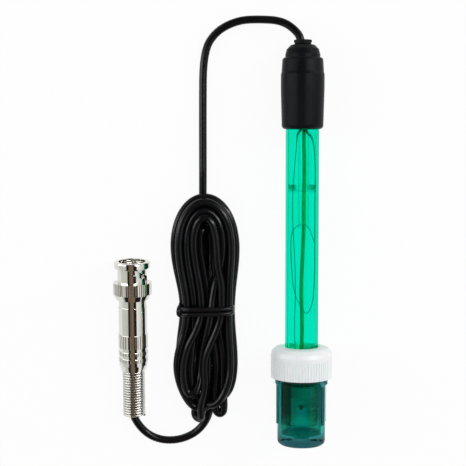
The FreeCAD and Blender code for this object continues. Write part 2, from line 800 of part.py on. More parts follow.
bent_sheet = doc.addObject("Part::Cut", "bent_sheet")
bent_sheet.Base = wave_outer
bent_sheet.Tool = wave_inner
wave_washer = doc.addObject("Part::Common", "wave_washer")
wave_washer.Label = "wave_washer"
wave_washer.Base = flat_washer
wave_washer.Tool = bent_sheet
doc.recompute()

# The thrust washer between the spring washer and the nut.
thrust_washer = turned("thrust_washer", "plug", [
    ("front_neck_radius + turn_gap", "nut_web_from - washer_thickness - washer_gap"),
    ("shoulder_radius", "nut_web_from - washer_thickness - washer_gap"),
    ("shoulder_radius", "nut_web_from - washer_gap"),
    ("front_neck_radius + turn_gap", "nut_web_from - washer_gap"),
])

# The bayonet nut: a rim, a barrel with two curved slots, a fluted grip and an inner web.
bayonet_nut = turned("bayonet_nut", "plug", [
    ("nut_bore_radius", "0"),
    *outer_round("nut_rim_radius", "0", "nut_rim_round_radius", below=True),
    *outer_round("nut_rim_radius", "nut_rim_thickness", "nut_rim_round_radius"),
    ("nut_barrel_radius", "nut_rim_thickness"),
    ("nut_barrel_radius", "grip_from"),
    ("nut_radius", "grip_from"),
    ("nut_radius", "grip_to"),
    ("nut_tail_radius", "nut_length"),
    ("front_neck_radius + turn_gap", "nut_length"),
    ("front_neck_radius + turn_gap", "nut_web_from"),
    ("nut_bore_radius", "nut_web_from"),
])
fluted(bayonet_nut, "nut_flute", "nut_radius", "nut_flute_depth", "grip_from - cut_over",
       "grip_to - grip_from + cut_over", "nut_flutes")
channel_sketch = new_sketch(bayonet_nut, "channel_end", "XY_Plane", "-cut_over", "slot_from")
draw_outline(channel_sketch, [
    ("-channel_radius", "-slot_width / 2"),
    ("channel_radius", "-slot_width / 2"),
    ("channel_radius", "slot_width / 2"),
    ("-channel_radius", "slot_width / 2"),
])
channel = bayonet_nut.newObject("PartDesign::Pocket", "channel")
channel.Profile = channel_sketch
channel.setExpression("Length", bound("slot_start + slot_width / 2 + cut_over"))
channel.Reversed = True
doc.recompute()
slot_sketch = new_sketch(bayonet_nut, "slot_start_face", "XZ_Plane", swing="slot_from")
draw_outline(slot_sketch, [
    ("nut_bore_radius - cut_over / 2", "slot_start - slot_width / 2"),
    ("nut_barrel_radius + cut_over / 2", "slot_start - slot_width / 2"),
    ("nut_barrel_radius + cut_over / 2", "slot_start + slot_width / 2"),
    ("nut_bore_radius - cut_over / 2", "slot_start + slot_width / 2"),
])
curved_slot = bayonet_nut.newObject("PartDesign::SubtractiveHelix", "curved_slot")
curved_slot.Profile = slot_sketch
curved_slot.ReferenceAxis = (slot_sketch, ["V_Axis"])
curved_slot.Mode = "pitch-height-angle"
curved_slot.LeftHanded = True
curved_slot.setExpression("Pitch", bound("slot_rise * 360 / slot_turn"))
curved_slot.setExpression("Height", bound("slot_rise"))
doc.recompute()
end_sketch = new_sketch(bayonet_nut, "slot_end_face", "YZ_Plane", swing="slot_from - slot_turn")
draw_circle(end_sketch, "0", "slot_start + slot_rise", "slot_end_radius")
slot_end = bayonet_nut.newObject("PartDesign::Pocket", "slot_end")
slot_end.Profile = end_sketch
slot_end.setExpression("Length", bound("nut_barrel_radius + cut_over / 2"))
slot_end.Reversed = True
doc.recompute()
repeated(bayonet_nut, [curved_slot, slot_end], "bayonet_slots", "V_Axis")

# The back body, screwed to the front body's tail. Its collar shows between nut and sleeve.
back_body = turned("back_body", "plug", [
    ("tail_radius", "collar_from"),
    ("collar_radius", "collar_from"),
    ("collar_radius", "collar_from + collar_thickness"),
    ("back_radius", "collar_from + collar_thickness"),
    ("back_radius", "back_end"),
    ("back_bore_radius", "back_end"),
    ("back_bore_radius", "tail_end"),
    ("tail_radius", "tail_end"),
])

# The polished sleeve behind it: a knurled band, two knurled ridges, a taper and the spring's seat.
rear_sleeve = turned("rear_sleeve", "plug", [
    ("back_radius", "collar_from + collar_thickness"),
    ("sleeve_radius", "collar_from + collar_thickness"),
    ("sleeve_radius", "knurl_from"),
    ("knurl_radius", "knurl_from"),
    ("knurl_radius", "knurl_to"),
    ("sleeve_radius", "knurl_to"),
    ("sleeve_radius", "ridge_one"),
    ("knurl_radius", "ridge_one"),
    ("knurl_radius", "ridge_one + ridge_width"),
    ("sleeve_radius", "ridge_one + ridge_width"),
    ("sleeve_radius", "ridge_two"),
    ("knurl_radius", "ridge_two"),
    ("knurl_radius", "ridge_two + ridge_width"),
    ("sleeve_radius", "ridge_two + ridge_width"),
    ("sleeve_radius", "taper_from"),
    ("rear_end_radius", "rear_end"),
    ("spring_radius", "rear_end"),
    ("spring_radius", "rear_end - spring_seat_depth"),
    ("sleeve_bore_radius", "rear_end - spring_seat_depth"),
    ("sleeve_bore_radius", "back_end"),
    ("back_radius", "back_end"),
])
fluted(rear_sleeve, "sleeve_flute", "knurl_radius", "knurl_depth", "knurl_from - cut_over",
       "ridge_two + ridge_width - knurl_from + 2 * cut_over", "knurl_flutes")

# The ferrule that clamps the cord's end, and the wire core from it to the centre pin.
clamp_ferrule = turned("clamp_ferrule", "plug", [
    ("cord_radius + cord_gap", "clamp_from"),
    ("clamp_radius", "clamp_from"),
    ("clamp_radius", "clamp_from + clamp_length"),
    ("cord_radius + cord_gap", "clamp_from + clamp_length"),
])
core_wire = turned("core_wire", "plug", [
    ("0", "pin_end"),
    ("core_radius", "pin_end"),
    ("core_radius", "clamp_from"),
    ("0", "clamp_from"),
])

# The close-wound strain-relief spring in the sleeve's end, its turns touching one another.
spring_turns = round(value("(spring_end - rear_end + spring_seat_depth) / spring_pitch"))
spring_outline = [("spring_radius - 2 * spring_wire", "spring_from")]
for number in range(spring_turns):
    spring_outline += [
        ("spring_radius - spring_groove_depth", f"spring_from + {number} * spring_pitch"),
        ("spring_radius", f"spring_from + {number + 0.5} * spring_pitch"),
    ]
spring_outline += [
    ("spring_radius - spring_groove_depth", f"spring_from + {spring_turns} * spring_pitch"),
    ("spring_radius - 2 * spring_wire", f"spring_from + {spring_turns} * spring_pitch"),
]
strain_spring = turned("strain_spring", "plug", spring_outline)

# The cord from the cap: out of the grommet, over a wide arch and straight down to the hank.
# Route points are places on the table, from a piece's mouth to the hank.
cord_radius = value("cord_radius")
electrode_place = placed("electrode")
plug_place = placed("plug")
mouth = electrode_place.multVec(Vector(0, 0, value("grommet_top")))
TOP_ROUTE = [
    electrode_place.multVec(Vector(0, 0, value("resin_top"))),
    electrode_place.multVec(Vector(0, 0, value("grommet_top + 0.4"))),
    Vector(-2.6, mouth.y + 4.8, 6.9),
    Vector(-6.8, mouth.y + 7.0, 6.0),
    Vector(-14.5, mouth.y + 7.8, 4.6),
    Vector(-23.0, mouth.y + 7.4, 3.2),
    Vector(-31.0, mouth.y + 3.6, 2.1),
    Vector(-35.6, mouth.y - 3.8, 1.6),
    Vector(-35.8, 15.0, 3.4),
]

# The cord to the plug: out of the hank, along the table and up into the strain-relief spring.
LOW_ROUTE = [
    plug_place.multVec(Vector(0, 0, value("cord_stub_end"))),
    Vector(-62.8, -63.6, 4.1),
    Vector(-58.3, -71.1, 2.9),
    Vector(-52.2, -74.7, 1.9),
    Vector(-44.4, -74.7, 1.55),
    Vector(-37.4, -71.1, 1.7),
    Vector(-33.2, -63.9, 2.8),
    Vector(-32.6, -59.6, 3.6),
]

# Cross-sections of the hank: along, across, half width, lowest and highest points.
HANK_SECTIONS = (
    (17.4, -35.7, 2.6, 1.9, 5.1),
    (16.0, -35.7, 5.4, 0.9, 6.4),
    (12.6, -35.5, 9.4, 0.0, 8.2),
    (6.0, -35.1, 12.0, 0.0, 9.2),
    (-2.0, -35.1, 12.5, 0.0, 9.2),
    (-13.0, -34.6, 11.1, 0.5, 9.2),
    (-24.6, -34.4, 9.4, 1.7, 9.2),
    (-36.0, -34.2, 10.4, 0.6, 9.2),
    (-46.0, -34.4, 11.7, 0.0, 9.2),
    (-54.0, -34.5, 10.8, 0.0, 9.2),
    (-59.6, -34.1, 8.5, 0.2, 8.2),
    (-63.2, -33.9, 4.6, 1.4, 6.0),
)
HANK_SIDES = 12


def hank_ring(section):
    along, across, half_width, low, high = section
    half_height = (high - low) / 2
    middle = Vector(across, along, (low + high) / 2)
    angles = [2 * math.pi * side / HANK_SIDES for side in range(HANK_SIDES)]
    corners = [middle + Vector(half_width * math.cos(a), 0, half_height * math.sin(a)) for a in angles]
    return Part.makePolygon(corners + corners[:1])


CORD_SIDES = 8
cord_nodes = []
for label, route, stub in (
    ("cord_top", TOP_ROUTE, None),
    ("cord_tail", LOW_ROUTE, (plug_place, "clamp_from", "cord_stub_end")),
):
    tube, radii, length = soft_bar(route, cord_radius, CORD_SIDES)
    section = CORD_SIDES / 2 * math.sin(2 * math.pi / CORD_SIDES) * cord_radius ** 2
    share = tube.Volume / (section * length)
    print(label, "arc radii", [round(radius, 1) for radius in radii], "volume share", round(share, 4))
    if stub:
        place, start, stop = stub
        inner_end = place.multVec(Vector(0, 0, value(start)))
        outer_end = place.multVec(Vector(0, 0, value(stop)))
        section = Part.Face(many_sided(inner_end, outer_end - inner_end, cord_radius, CORD_SIDES))
        tube = tube.fuse(section.extrude(outer_end - inner_end))
    cord_nodes.append(shaped(label, tube))
cord_hank = shaped("cord_hank", Part.makeLoft([hank_ring(s) for s in HANK_SECTIONS], True, True))
cord_nodes.append(cord_hank)

# The wire tie: one turn round the hank's waist and a short end lying beside it.
TIE_SIDES = 6
tie_radius = value("tie_radius")
tie_across = value("tie_across")
tie_along = value("tie_along")
tie_half = value("tie_half_width")
tie_low = value("tie_low")
tie_high = value("tie_high")
tie_corner = value("tie_corner")
tie_left = tie_across - tie_half


def tie_turn():
    left = tie_left
    right = tie_across + tie_half
    bend = tie_corner * (1 - math.sqrt(0.5))
    flat = (
        ((left, tie_low + tie_corner), (left + bend, tie_low + bend), (left + tie_corner, tie_low)),
        ((right - tie_corner, tie_low), (right - bend, tie_low + bend), (right, tie_low + tie_corner)),
        ((right, tie_high - tie_corner), (right - bend, tie_high - bend),
         (right - tie_corner, tie_high)),
        ((left + tie_corner, tie_high), (left + bend, tie_high - bend),
         (left, tie_high - tie_corner)),
    )
    arcs = [[Vector(across, tie_along, up) for across, up in arc] for arc in flat]
    edges = []
    for number, arc in enumerate(arcs):
        edges.append(Part.Arc(*arc).toShape())
        onward = arcs[(number + 1) % len(arcs)][0]
        if (onward - arc[2]).Length > 0.001:
            edges.append(Part.LineSegment(arc[2], onward).toShape())
    start = arcs[0][0]
    ring = many_sided(start, Vector(0, 0, -1), tie_radius, TIE_SIDES)
    return Part.Wire(edges).makePipeShell([ring], True, False)


tie_tail = [
    Vector(tie_left + tie_radius / 2, tie_along + 1.3 * tie_radius, tie_high - 3.2 * tie_radius),
    Vector(tie_left + 0.45 * tie_corner, tie_along + 2.4 * tie_radius, tie_high - tie_radius / 2),
    Vector(tie_left + 1.5 * tie_corner, tie_along + 2.1 * tie_radius, tie_high + tie_radius / 9),
    Vector(tie_left + 2.7 * tie_corner, tie_along + tie_radius, tie_high - tie_radius / 5),
]
tail_shape, _, _ = soft_bar(tie_tail, tie_radius, TIE_SIDES)
hank_tie = shaped("hank_tie", tie_turn().fuse(tail_shape))

NODES = (
    body_tube, tip_plug, junction, sensor_stem, platinum_tip, seal_plug, reference_tube,
    sensor_lead, reference_wire, ground_wire, gel_fill, cap_sleeve, end_cap, potting,
    cable_grommet, storage_bottle, neck_gasket, seal_ring, slip_washer, bottle_cap,
    connector_body, face_gasket, insulator, centre_pin, wave_washer, thrust_washer, bayonet_nut,
    back_body, rear_sleeve, clamp_ferrule, core_wire, strain_spring, *cord_nodes, hank_tie,
)

doc.recompute()
for made in doc.Objects:
    faults = [word for word in made.State if word in ("Invalid", "Error")]
    if faults:
        raise RuntimeError(f"{made.Name} is {faults}")
for made in NODES:
    if made.Shape.isNull() or not made.Shape.isValid():
        raise RuntimeError(f"{made.Label} has no valid shape")

os.makedirs("parts", exist_ok=True)
for made in NODES:
    made.Shape.exportStep(f"parts/{made.Label}.step")
    box = made.Shape.BoundBox
    print(f"{made.Label:16s} solids {len(made.Shape.Solids)} volume {made.Shape.Volume:9.2f} "
          f"z {box.ZMin:7.3f} to {box.ZMax:7.3f}")
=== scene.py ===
import math

import bpy
from mathutils import Matrix, Vector
from mathutils.geometry import intersect_point_line
from mathutils.kdtree import KDTree


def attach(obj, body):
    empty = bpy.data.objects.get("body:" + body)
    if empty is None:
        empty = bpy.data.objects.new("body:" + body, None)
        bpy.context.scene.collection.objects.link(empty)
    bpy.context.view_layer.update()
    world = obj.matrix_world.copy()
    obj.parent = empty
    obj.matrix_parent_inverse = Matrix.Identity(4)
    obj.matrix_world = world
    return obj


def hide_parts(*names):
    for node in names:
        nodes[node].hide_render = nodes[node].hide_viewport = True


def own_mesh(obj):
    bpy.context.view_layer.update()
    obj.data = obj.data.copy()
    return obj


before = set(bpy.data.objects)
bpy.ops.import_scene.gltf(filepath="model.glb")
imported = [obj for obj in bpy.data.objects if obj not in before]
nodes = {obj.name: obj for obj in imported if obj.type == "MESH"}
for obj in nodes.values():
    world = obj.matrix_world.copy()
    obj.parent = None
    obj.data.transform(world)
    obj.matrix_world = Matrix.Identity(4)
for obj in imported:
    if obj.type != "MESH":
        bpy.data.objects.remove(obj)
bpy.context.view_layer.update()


# The view: from straight above the table, leaning back a little, as the electrode was photographed.
CAMERA_PLACE = (-0.02484, 0.04456, 0.39423)
CAMERA_LEAN = math.radians(6)
camera_data = bpy.data.cameras.new("camera")
camera_data.lens = 83
camera_data.clip_start = 0.01
camera_data.clip_end = 20
camera = bpy.data.objects.new("camera", camera_data)
bpy.context.scene.collection.objects.link(camera)
camera.location = CAMERA_PLACE
camera.rotation_euler = (-CAMERA_LEAN, 0, 0)
bpy.context.scene.camera = camera
bpy.context.scene.view_settings.view_transform = "Standard"


# The cord: one length of round black cable, 2.9 mm thick. It leaves the cap's grommet, runs over a
# wide arch to the hank, makes its turns there, and goes on to the plug. Lengths here are millimetres.
CORD_RADIUS = 1.45
STRAND = 2 * CORD_RADIUS
CORD_TO_HANK = (
    (0, 63.83, 7.69), (0, 73.03, 7.38), (-3.6, 77.3, 6.9), (-8.0, 79.8, 6.0), (-15.0, 80.4, 4.6),
    (-23.0, 80.2, 3.2), (-31.0, 76.4, 2.1), (-35.6, 69.0, 1.6), (-35.8, 48.0, 1.6), (-35.8, 32.0, 2.0),
    (-35.8, 23.0, 2.6),
)
CORD_TO_PLUG = (
    (-33.2, -63.9, 2.8), (-37.4, -71.1, 1.7), (-44.4, -74.7, 1.55), (-52.2, -74.7, 1.9),
    (-58.3, -71.1, 2.9), (-62.8, -63.6, 4.1), (-61.5, -53.31, 4.84), (-61.5, -34.35, 6.0),
)
# The hank's turns, wound upwards on the left and down on the right. The columns are the left leg's
# distance from the hank's middle at the foot, waist and top, the top's reach, the right leg's at the
# top, waist and foot, the foot's reach, and the height on the left, top, right and foot.
HANK_TURNS = (
    (-7.8, -4.0, -6.2, 10.0, 5.6, 3.4, 3.9, -53.0, 1.5, 1.5, 1.5, 1.5),
    (-10.2, -7.0, -10.9, 14.6, 10.4, 7.2, 9.8, -61.6, 1.5, 1.5, 1.5, 1.6),
    (-10.2, -8.0, -11.5, 18.0, 11.7, 8.3, 10.4, -60.4, 4.3, 4.3, 4.3, 4.3),
    (-7.2, -5.4, -8.4, 14.8, 8.6, 5.3, 7.2, -63.2, 4.4, 4.4, 4.4, 4.9),
    (-10.2, -7.0, -10.0, 16.6, 10.3, 7.4, 9.2, -61.2, 7.2, 7.2, 7.2, 6.4),
    (-6.8, -4.4, -6.9, 13.0, 7.2, 1.4, -1.6, -58.2, 7.3, 7.3, 7.3, 7.4),
    (-9.2, -1.6, -4.4, 11.2, 4.6, 6.0, -1.6, -66.4, 7.4, 7.4, 7.6, 5.0),
    (-4.6, -2.0, -3.2, 9.0, 3.8, 3.6, 6.3, -64.8, 4.4, 4.6, 4.6, 6.2),
    (3.3, 0.8, -2.0, 6.4, 2.0, 1.2, 0.4, -57.0, 4.6, 4.4, 4.0, 2.4),
)
HANK_MIDDLE = (-34.7, -34.3, -35.3)
FOOT, WAIST, TOP = -45.5, -24.5, 0.0
# The cord enters along the table, down to a first fold at the foot, and leaves from the last turn.
ENTRY, ENTRY_STEP, ENTRY_POINTS = (-35.9, 14.0, 1.6), (0.3, -6.5), 9
ENTRY_FOLD = (-33.2, -52.0, 1.5)
HANK_EXIT = ((-34.6, -50.5, 1.9), (-34.0, -57.0, 2.4))
# Points along half a leg and round a fold. A fold with a half width up to NARROW_FOLD is straight
# first, with a point every FOLD_RUN or so, and then has a tip TIP_DEPTH half widths deep.
LEG_STEPS, FOLD_STEPS, FOLD_RUN = 5, 8, 4.5
NARROW_FOLD, TIP_DEPTH = 3.0, 1.2


def eased(share):
    """A share from 0 to 1 that starts and stops gently."""
    return share * share * (3 - 2 * share)


def leg(foot, waist, top, level):
    """A strand from the hank's foot to its top, drawn in at the waist."""
    across = [middle + off for middle, off in zip(HANK_MIDDLE, (foot, waist, top))]
    points = []
    for start, stop, x_from, x_to in ((FOOT, WAIST, *across[:2]), (WAIST, TOP, *across[1:])):
        for step in range(LEG_STEPS):
            share = step / LEG_STEPS
            sideways = x_from + (x_to - x_from) * eased(share)
            points.append(Vector((sideways, start + (stop - start) * share, level)))
    return points + [Vector((across[2], TOP, level))]


def fold(x_from, x_to, root, reach, low, middle, high):
    """Half a turn at one end of the hank, from one leg to the next. A narrow one is round at its tip."""
    half = abs(x_to - x_from) / 2
    depth = abs(reach - root) if half > NARROW_FOLD else min(abs(reach - root), TIP_DEPTH * half)
    straight = reach - root - math.copysign(depth, reach - root)
    steps = round(abs(straight) / FOLD_RUN)
    points = [Vector((x_from, root + straight * step / steps, low)) for step in range(steps)]
    for step in range(FOLD_STEPS):
        angle = math.pi * step / FOLD_STEPS
        share = (1 - math.cos(angle)) / 2
        level = low + (high - low) * share + (middle - (low + high) / 2) * math.sin(angle)
        along = root + straight + (reach - root - straight) * math.sin(angle)
        points.append(Vector((x_from + (x_to - x_from) * share, along, level)))
    return points + [Vector((x_to, root + straight * step / steps, high)) for step in range(steps, 0, -1)]


def hank_route():
    """The strands of the hank as they are wound, from the cap's side to the plug's side."""
    foot_x, _, top_x = HANK_MIDDLE
    first = HANK_TURNS[0]
    route = [Vector((ENTRY[0] + ENTRY_STEP[0] * step, ENTRY[1] + ENTRY_STEP[1] * step, ENTRY[2]))
             for step in range(ENTRY_POINTS)]
    entry_x, entry_reach, entry_z = ENTRY_FOLD
    route += fold(entry_x, foot_x + first[0], FOOT, entry_reach, entry_z, entry_z, first[8])
    for number, turn in enumerate(HANK_TURNS):
        left_foot, left_waist, left_top, reach, right_top, right_waist, right_foot, low_reach = turn[:8]
        left_z, top_z, right_z, foot_z = turn[8:]
        route += leg(left_foot, left_waist, left_top, left_z)[:-1]
        route += fold(top_x + left_top, top_x + right_top, TOP, reach, left_z, top_z, right_z)
        route += leg(right_foot, right_waist, right_top, right_z)[:0:-1]
        if number + 1 < len(HANK_TURNS):
            onward = HANK_TURNS[number + 1]
            route += fold(foot_x + right_foot, foot_x + onward[0], FOOT, low_reach,
                          right_z, foot_z, onward[8])
    return route + [Vector(point) for point in HANK_EXIT]


# The strands settle in rounds. In each one, two strands that lie too close push each other apart,
# more up and down than sideways. Every point then sinks a little, is smoothed, most where the cord
# bends tighter than TIGHTEST, and is drawn back to where it was wound.
ROUNDS, LOOK_AROUND, OWN_POINTS, CROSSING = 220, 1.7 * STRAND, 4, 0.01
PUSH, PUSH_BACK, MORE_UPWARDS = 0.5, 0.25, 1.5
SMOOTH_BEND, SMOOTH, DRAW_BACK, SINK = 0.35, 0.03, 0.03, 0.01
TIGHTEST, LOWEST, HIGHEST = 2.0, CORD_RADIUS + 0.02, 9.2 - CORD_RADIUS


def settled(route):
    """The strands after they have made room for each other and come to lie on the table."""
    route = [point.copy() for point in route]
    wanted = [point.copy() for point in route]
    for _ in range(ROUNDS):
        near = KDTree(len(route))
        for number, point in enumerate(route):
            near.insert(point, number)
        near.balance()
        push = [Vector() for _ in route]
        count = [0] * len(route)
        for number, point in enumerate(route):
            for _, other, _ in near.find_range(point, LOOK_AROUND):
                if abs(other - number) < OWN_POINTS or other + 1 >= len(route):
                    continue
                closest, share = intersect_point_line(point, route[other], route[other + 1])
                if not 0 <= share <= 1:
                    continue
                away = point - closest
                if away.length < STRAND:
                    lacking = STRAND - away.length
                    away.z *= MORE_UPWARDS
                    if away.length < CROSSING:
                        away = Vector((0, 0, 1 if number > other else -1))
                    away.normalize()
                    push[number] += away * lacking * PUSH
                    count[number] += 1
                    for here in (other, other + 1):
                        push[here] -= away * lacking * PUSH_BACK
                        count[here] += 0.5
        for number in range(1, len(route) - 1):
            point = route[number]
            if count[number]:
                point += push[number] / max(count[number], 1)
            before, after = route[number - 1], route[number + 1]
            span = (point - before).length + (after - point).length
            bend = (point - before).angle(after - point, 0) * 2 / span
            point += ((before + after) / 2 - point) * (SMOOTH_BEND if bend > 1 / TIGHTEST else SMOOTH)
            point.xy += (wanted[number].xy - point.xy) * DRAW_BACK
            point.z = min(max(point.z - SINK, LOWEST), HIGHEST)
    return route


def cable(name, route, radius, steps, sides, thick=()):
    """A round cable or wire along a route, both in millimetres. Its first points may be thicker.
    Steps are the divisions between two points, and sides make it rounder."""
    curve = bpy.data.curves.new(name, "CURVE")
    curve.dimensions = "3D"
    spline = curve.splines.new("NURBS")
    spline.points.add(len(route) - 1)
    for number, (knot, point) in enumerate(zip(spline.points, route)):
        knot.co = (*(point / 1000), 1)
        knot.radius = radius / 1000 * (thick[number] if number < len(thick) else 1)
    spline.order_u = 3
    spline.use_endpoint_u = True
    spline.resolution_u = steps
    curve.bevel_depth = 1
    curve.bevel_resolution = sides
    curve.use_fill_caps = True
    made = bpy.data.objects.new(name, curve)
    bpy.context.scene.collection.objects.link(made)
    return made


cord_route = [Vector(point) for point in CORD_TO_HANK]
cord_route += settled(hank_route())
cord_route += [Vector(point) for point in CORD_TO_PLUG]
cord = cable("cord", cord_route, CORD_RADIUS, steps=6, sides=4)
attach(cord, "electrode")
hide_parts("cord_top", "cord_hank", "cord_tail")


def new_group(name, inputs, outputs):
    """An empty node group with number inputs and outputs, and its ends."""
    group = bpy.data.node_groups.new(name, "ShaderNodeTree")
    for label, amount in inputs.items():
        socket = group.interface.new_socket(label, in_out="INPUT", socket_type="NodeSocketFloat")
        socket.default_value = amount
    for label in outputs:
        group.interface.new_socket(label, in_out="OUTPUT", socket_type="NodeSocketFloat")
    start, end = group.nodes.new("NodeGroupInput"), group.nodes.new("NodeGroupOutput")
    return group, start, end


def put(tree, kind, **values):
    """Adds a node. A value that names a setting is set there, and any other goes to an input."""
    node = tree.nodes.new(kind)
    for name, amount in values.items():
        if hasattr(node, name):
            setattr(node, name, amount)
        else:
            node.inputs[name.replace("_", " ")].default_value = amount
    return node


# What each moulded, rubbed or plated skin shares: a fine grain, and larger patches where it has
# been handled. Both follow the piece, because they read its own coordinates.
skin_group, start, end = new_group("skin", {"Grain Scale": 2000, "Patch Scale": 90}, ("Grain", "Patches"))
where = put(skin_group, "ShaderNodeTexCoord")
grain = put(skin_group, "ShaderNodeTexNoise", Detail=3.0)
patches = put(skin_group, "ShaderNodeTexNoise", Detail=4.0, Roughness=0.6)
spread = put(skin_group, "ShaderNodeMapRange", From_Min=0.33, From_Max=0.67)
skin_group.links.new(where.outputs["Object"], grain.inputs["Vector"])
skin_group.links.new(where.outputs["Object"], patches.inputs["Vector"])
skin_group.links.new(start.outputs["Grain Scale"], grain.inputs["Scale"])
skin_group.links.new(start.outputs["Patch Scale"], patches.inputs["Scale"])
skin_group.links.new(patches.outputs["Fac"], spread.inputs["Value"])
skin_group.links.new(grain.outputs["Fac"], end.inputs["Grain"])
skin_group.links.new(spread.outputs[0], end.inputs["Patches"])


def new_material(name):
    """A material with only its output node, and that node's tree."""
    material = bpy.data.materials.new(name)
    material.use_nodes = True
    tree = material.node_tree
    tree.nodes.clear()
    return material, tree, tree.nodes.new("ShaderNodeOutputMaterial")


def mixed(tree, mask, colour, other):
    """A colour that goes over into another one where the mask is 1. Either may be another node's."""
    blend = put(tree, "ShaderNodeMix", data_type="RGBA")
    for socket, tone in ((blend.inputs[6], colour), (blend.inputs[7], other)):
        if isinstance(tone, tuple):
            socket.default_value = (*tone, 1)
        else:
            tree.links.new(tone, socket)
    tree.links.new(mask, blend.inputs[0])
    return blend.outputs[2]


def finish(name, colour, handled, gloss, grain=(2000, 0.1), patch_scale=90, bump_depth=0.0001, **sockets):
    """A solid finish: its colour, the colour and roughness where it is handled, and its grain."""
    material, tree, output = new_material(name)
    link = tree.links.new
    skin = put(tree, "ShaderNodeGroup", node_tree=skin_group)
    skin.inputs["Grain Scale"].default_value = grain[0]
    skin.inputs["Patch Scale"].default_value = patch_scale
    tint = mixed(tree, skin.outputs["Patches"], colour, handled)
    shine = put(tree, "ShaderNodeMapRange", To_Min=gloss[0], To_Max=gloss[1])
    raised = put(tree, "ShaderNodeBump", Strength=grain[1], Distance=bump_depth)
    shader = put(tree, "ShaderNodeBsdfPrincipled")
    for socket, amount in sockets.items():
        shader.inputs[socket.replace("_", " ")].default_value = amount
    link(skin.outputs["Patches"], shine.inputs["Value"])
    link(skin.outputs["Grain"], raised.inputs["Height"])
    link(tint, shader.inputs["Base Color"])
    link(shine.outputs[0], shader.inputs["Roughness"])
    link(raised.outputs[0], shader.inputs["Normal"])
    link(shader.outputs[0], output.inputs["Surface"])
    return material


def dress(material, *names):
    """Gives CAD nodes their material."""
    for name in names:
        mesh = nodes[name].data
        mesh.materials.clear()
        mesh.materials.append(material)


# Its jacket is glossy black vinyl, a little uneven, and duller where it has been handled.
jacket_black = finish("jacket_black", (0.0026, 0.0028, 0.0036), (0.0045, 0.0048, 0.006), (0.12, 0.24),
                      grain=(900, 0.12), bump_depth=0.0002, Specular_IOR_Level=0.22)
cord.data.materials.append(jacket_black)


# The table: a plain white sheet that takes a soft shadow. The camera, the metal and the clear pieces
# see it white.
TABLE_WHITE, TABLE_SIDE, TABLE_MIDDLE = 0.93, 6, (-0.025, 0, -0.0002)
bpy.ops.object.select_all(action="DESELECT")
bpy.ops.mesh.primitive_plane_add(size=TABLE_SIDE, location=TABLE_MIDDLE)
table = bpy.context.active_object
table.name = "table"
table_white, tree, output = new_material("table_white")
link = tree.links.new
paper = put(tree, "ShaderNodeBsdfDiffuse")
paper.inputs["Color"].default_value = (0.88, 0.88, 0.88, 1)
glow = put(tree, "ShaderNodeEmission")
seen_by = put(tree, "ShaderNodeLightPath")
camera_or_metal = put(tree, "ShaderNodeMath", operation="MAXIMUM")
or_glass = put(tree, "ShaderNodeMath", operation="MAXIMUM")
share = put(tree, "ShaderNodeMath", operation="MULTIPLY")
share.inputs[1].default_value = TABLE_WHITE
either = put(tree, "ShaderNodeMixShader")
link(seen_by.outputs["Is Camera Ray"], camera_or_metal.inputs[0])
link(seen_by.outputs["Is Glossy Ray"], camera_or_metal.inputs[1])
link(camera_or_metal.outputs[0], or_glass.inputs[0])
link(seen_by.outputs["Is Transmission Ray"], or_glass.inputs[1])
link(or_glass.outputs[0], share.inputs[0])
link(share.outputs[0], either.inputs["Fac"])
link(paper.outputs[0], either.inputs[1])
link(glow.outputs[0], either.inputs[2])
link(either.outputs[0], output.inputs["Surface"])
table.data.materials.append(table_white)


# The studio: pale walls, a dark ceiling that the plug mirrors as its dark middle stripe, and two
# long lamps. The ceiling's colours run from the left wall to the right one.
ROOM_LIGHT, MIRRORED_LIGHT = 0.80, 0.95
CEILING = (
    (0.0, (0.80, 0.80, 0.77)), (0.22, (0.72, 0.73, 0.69)), (0.255, (0.012, 0.012, 0.014)),
    (0.34, (0.012, 0.012, 0.014)), (0.37, (0.20, 0.125, 0.075)), (0.59, (0.24, 0.18, 0.13)),
    (0.63, (0.012, 0.012, 0.014)), (0.775, (0.014, 0.014, 0.018)), (0.80, (1.25, 1.25, 1.24)),
    (0.90, (1.0, 0.99, 0.96)), (1.0, (0.80, 0.80, 0.80)),
)
# Each lamp's place, power, width and length. Both lamps face the hank.
LAMP_AIM = (-0.02, 0.02, 0)
LAMPS = (
    ("left_lamp", (-0.80, 0.15, 0.42), 2.6, 0.22, 1.0),
    ("right_lamp", (0.62, 0.30, 0.62), 4.8, 0.12, 1.1),
)
world = bpy.data.worlds.new("studio")
world.use_nodes = True
bpy.context.scene.world = world
tree = world.node_tree
tree.nodes.clear()
link = tree.links.new
sky_out = put(tree, "ShaderNodeOutputWorld")
walls = put(tree, "ShaderNodeBackground", Strength=ROOM_LIGHT)
mirrored = put(tree, "ShaderNodeBackground", Strength=MIRRORED_LIGHT)
backdrop = put(tree, "ShaderNodeBackground", Strength=1.0)
walls.inputs["Color"].default_value = (0.62, 0.62, 0.62, 1)
backdrop.inputs["Color"].default_value = (1, 1, 1, 1)
walls_or_mirrored = put(tree, "ShaderNodeMixShader")
or_backdrop = put(tree, "ShaderNodeMixShader")
seen_by = put(tree, "ShaderNodeLightPath")
direction = put(tree, "ShaderNodeTexCoord")
parts = put(tree, "ShaderNodeSeparateXYZ")
sideways = put(tree, "ShaderNodeMapRange", From_Min=-1.0, From_Max=1.0)
ceiling = put(tree, "ShaderNodeValToRGB")
ramp = ceiling.color_ramp
while len(ramp.elements) < len(CEILING):
    ramp.elements.new(0.5)
for stop, (position, colour) in zip(ramp.elements, CEILING):
    stop.position = position
    stop.color = (*colour, 1)
link(direction.outputs["Generated"], parts.inputs[0])
link(parts.outputs["X"], sideways.inputs[0])
link(sideways.outputs[0], ceiling.inputs["Fac"])
link(ceiling.outputs["Color"], mirrored.inputs["Color"])
link(seen_by.outputs["Is Glossy Ray"], walls_or_mirrored.inputs["Fac"])
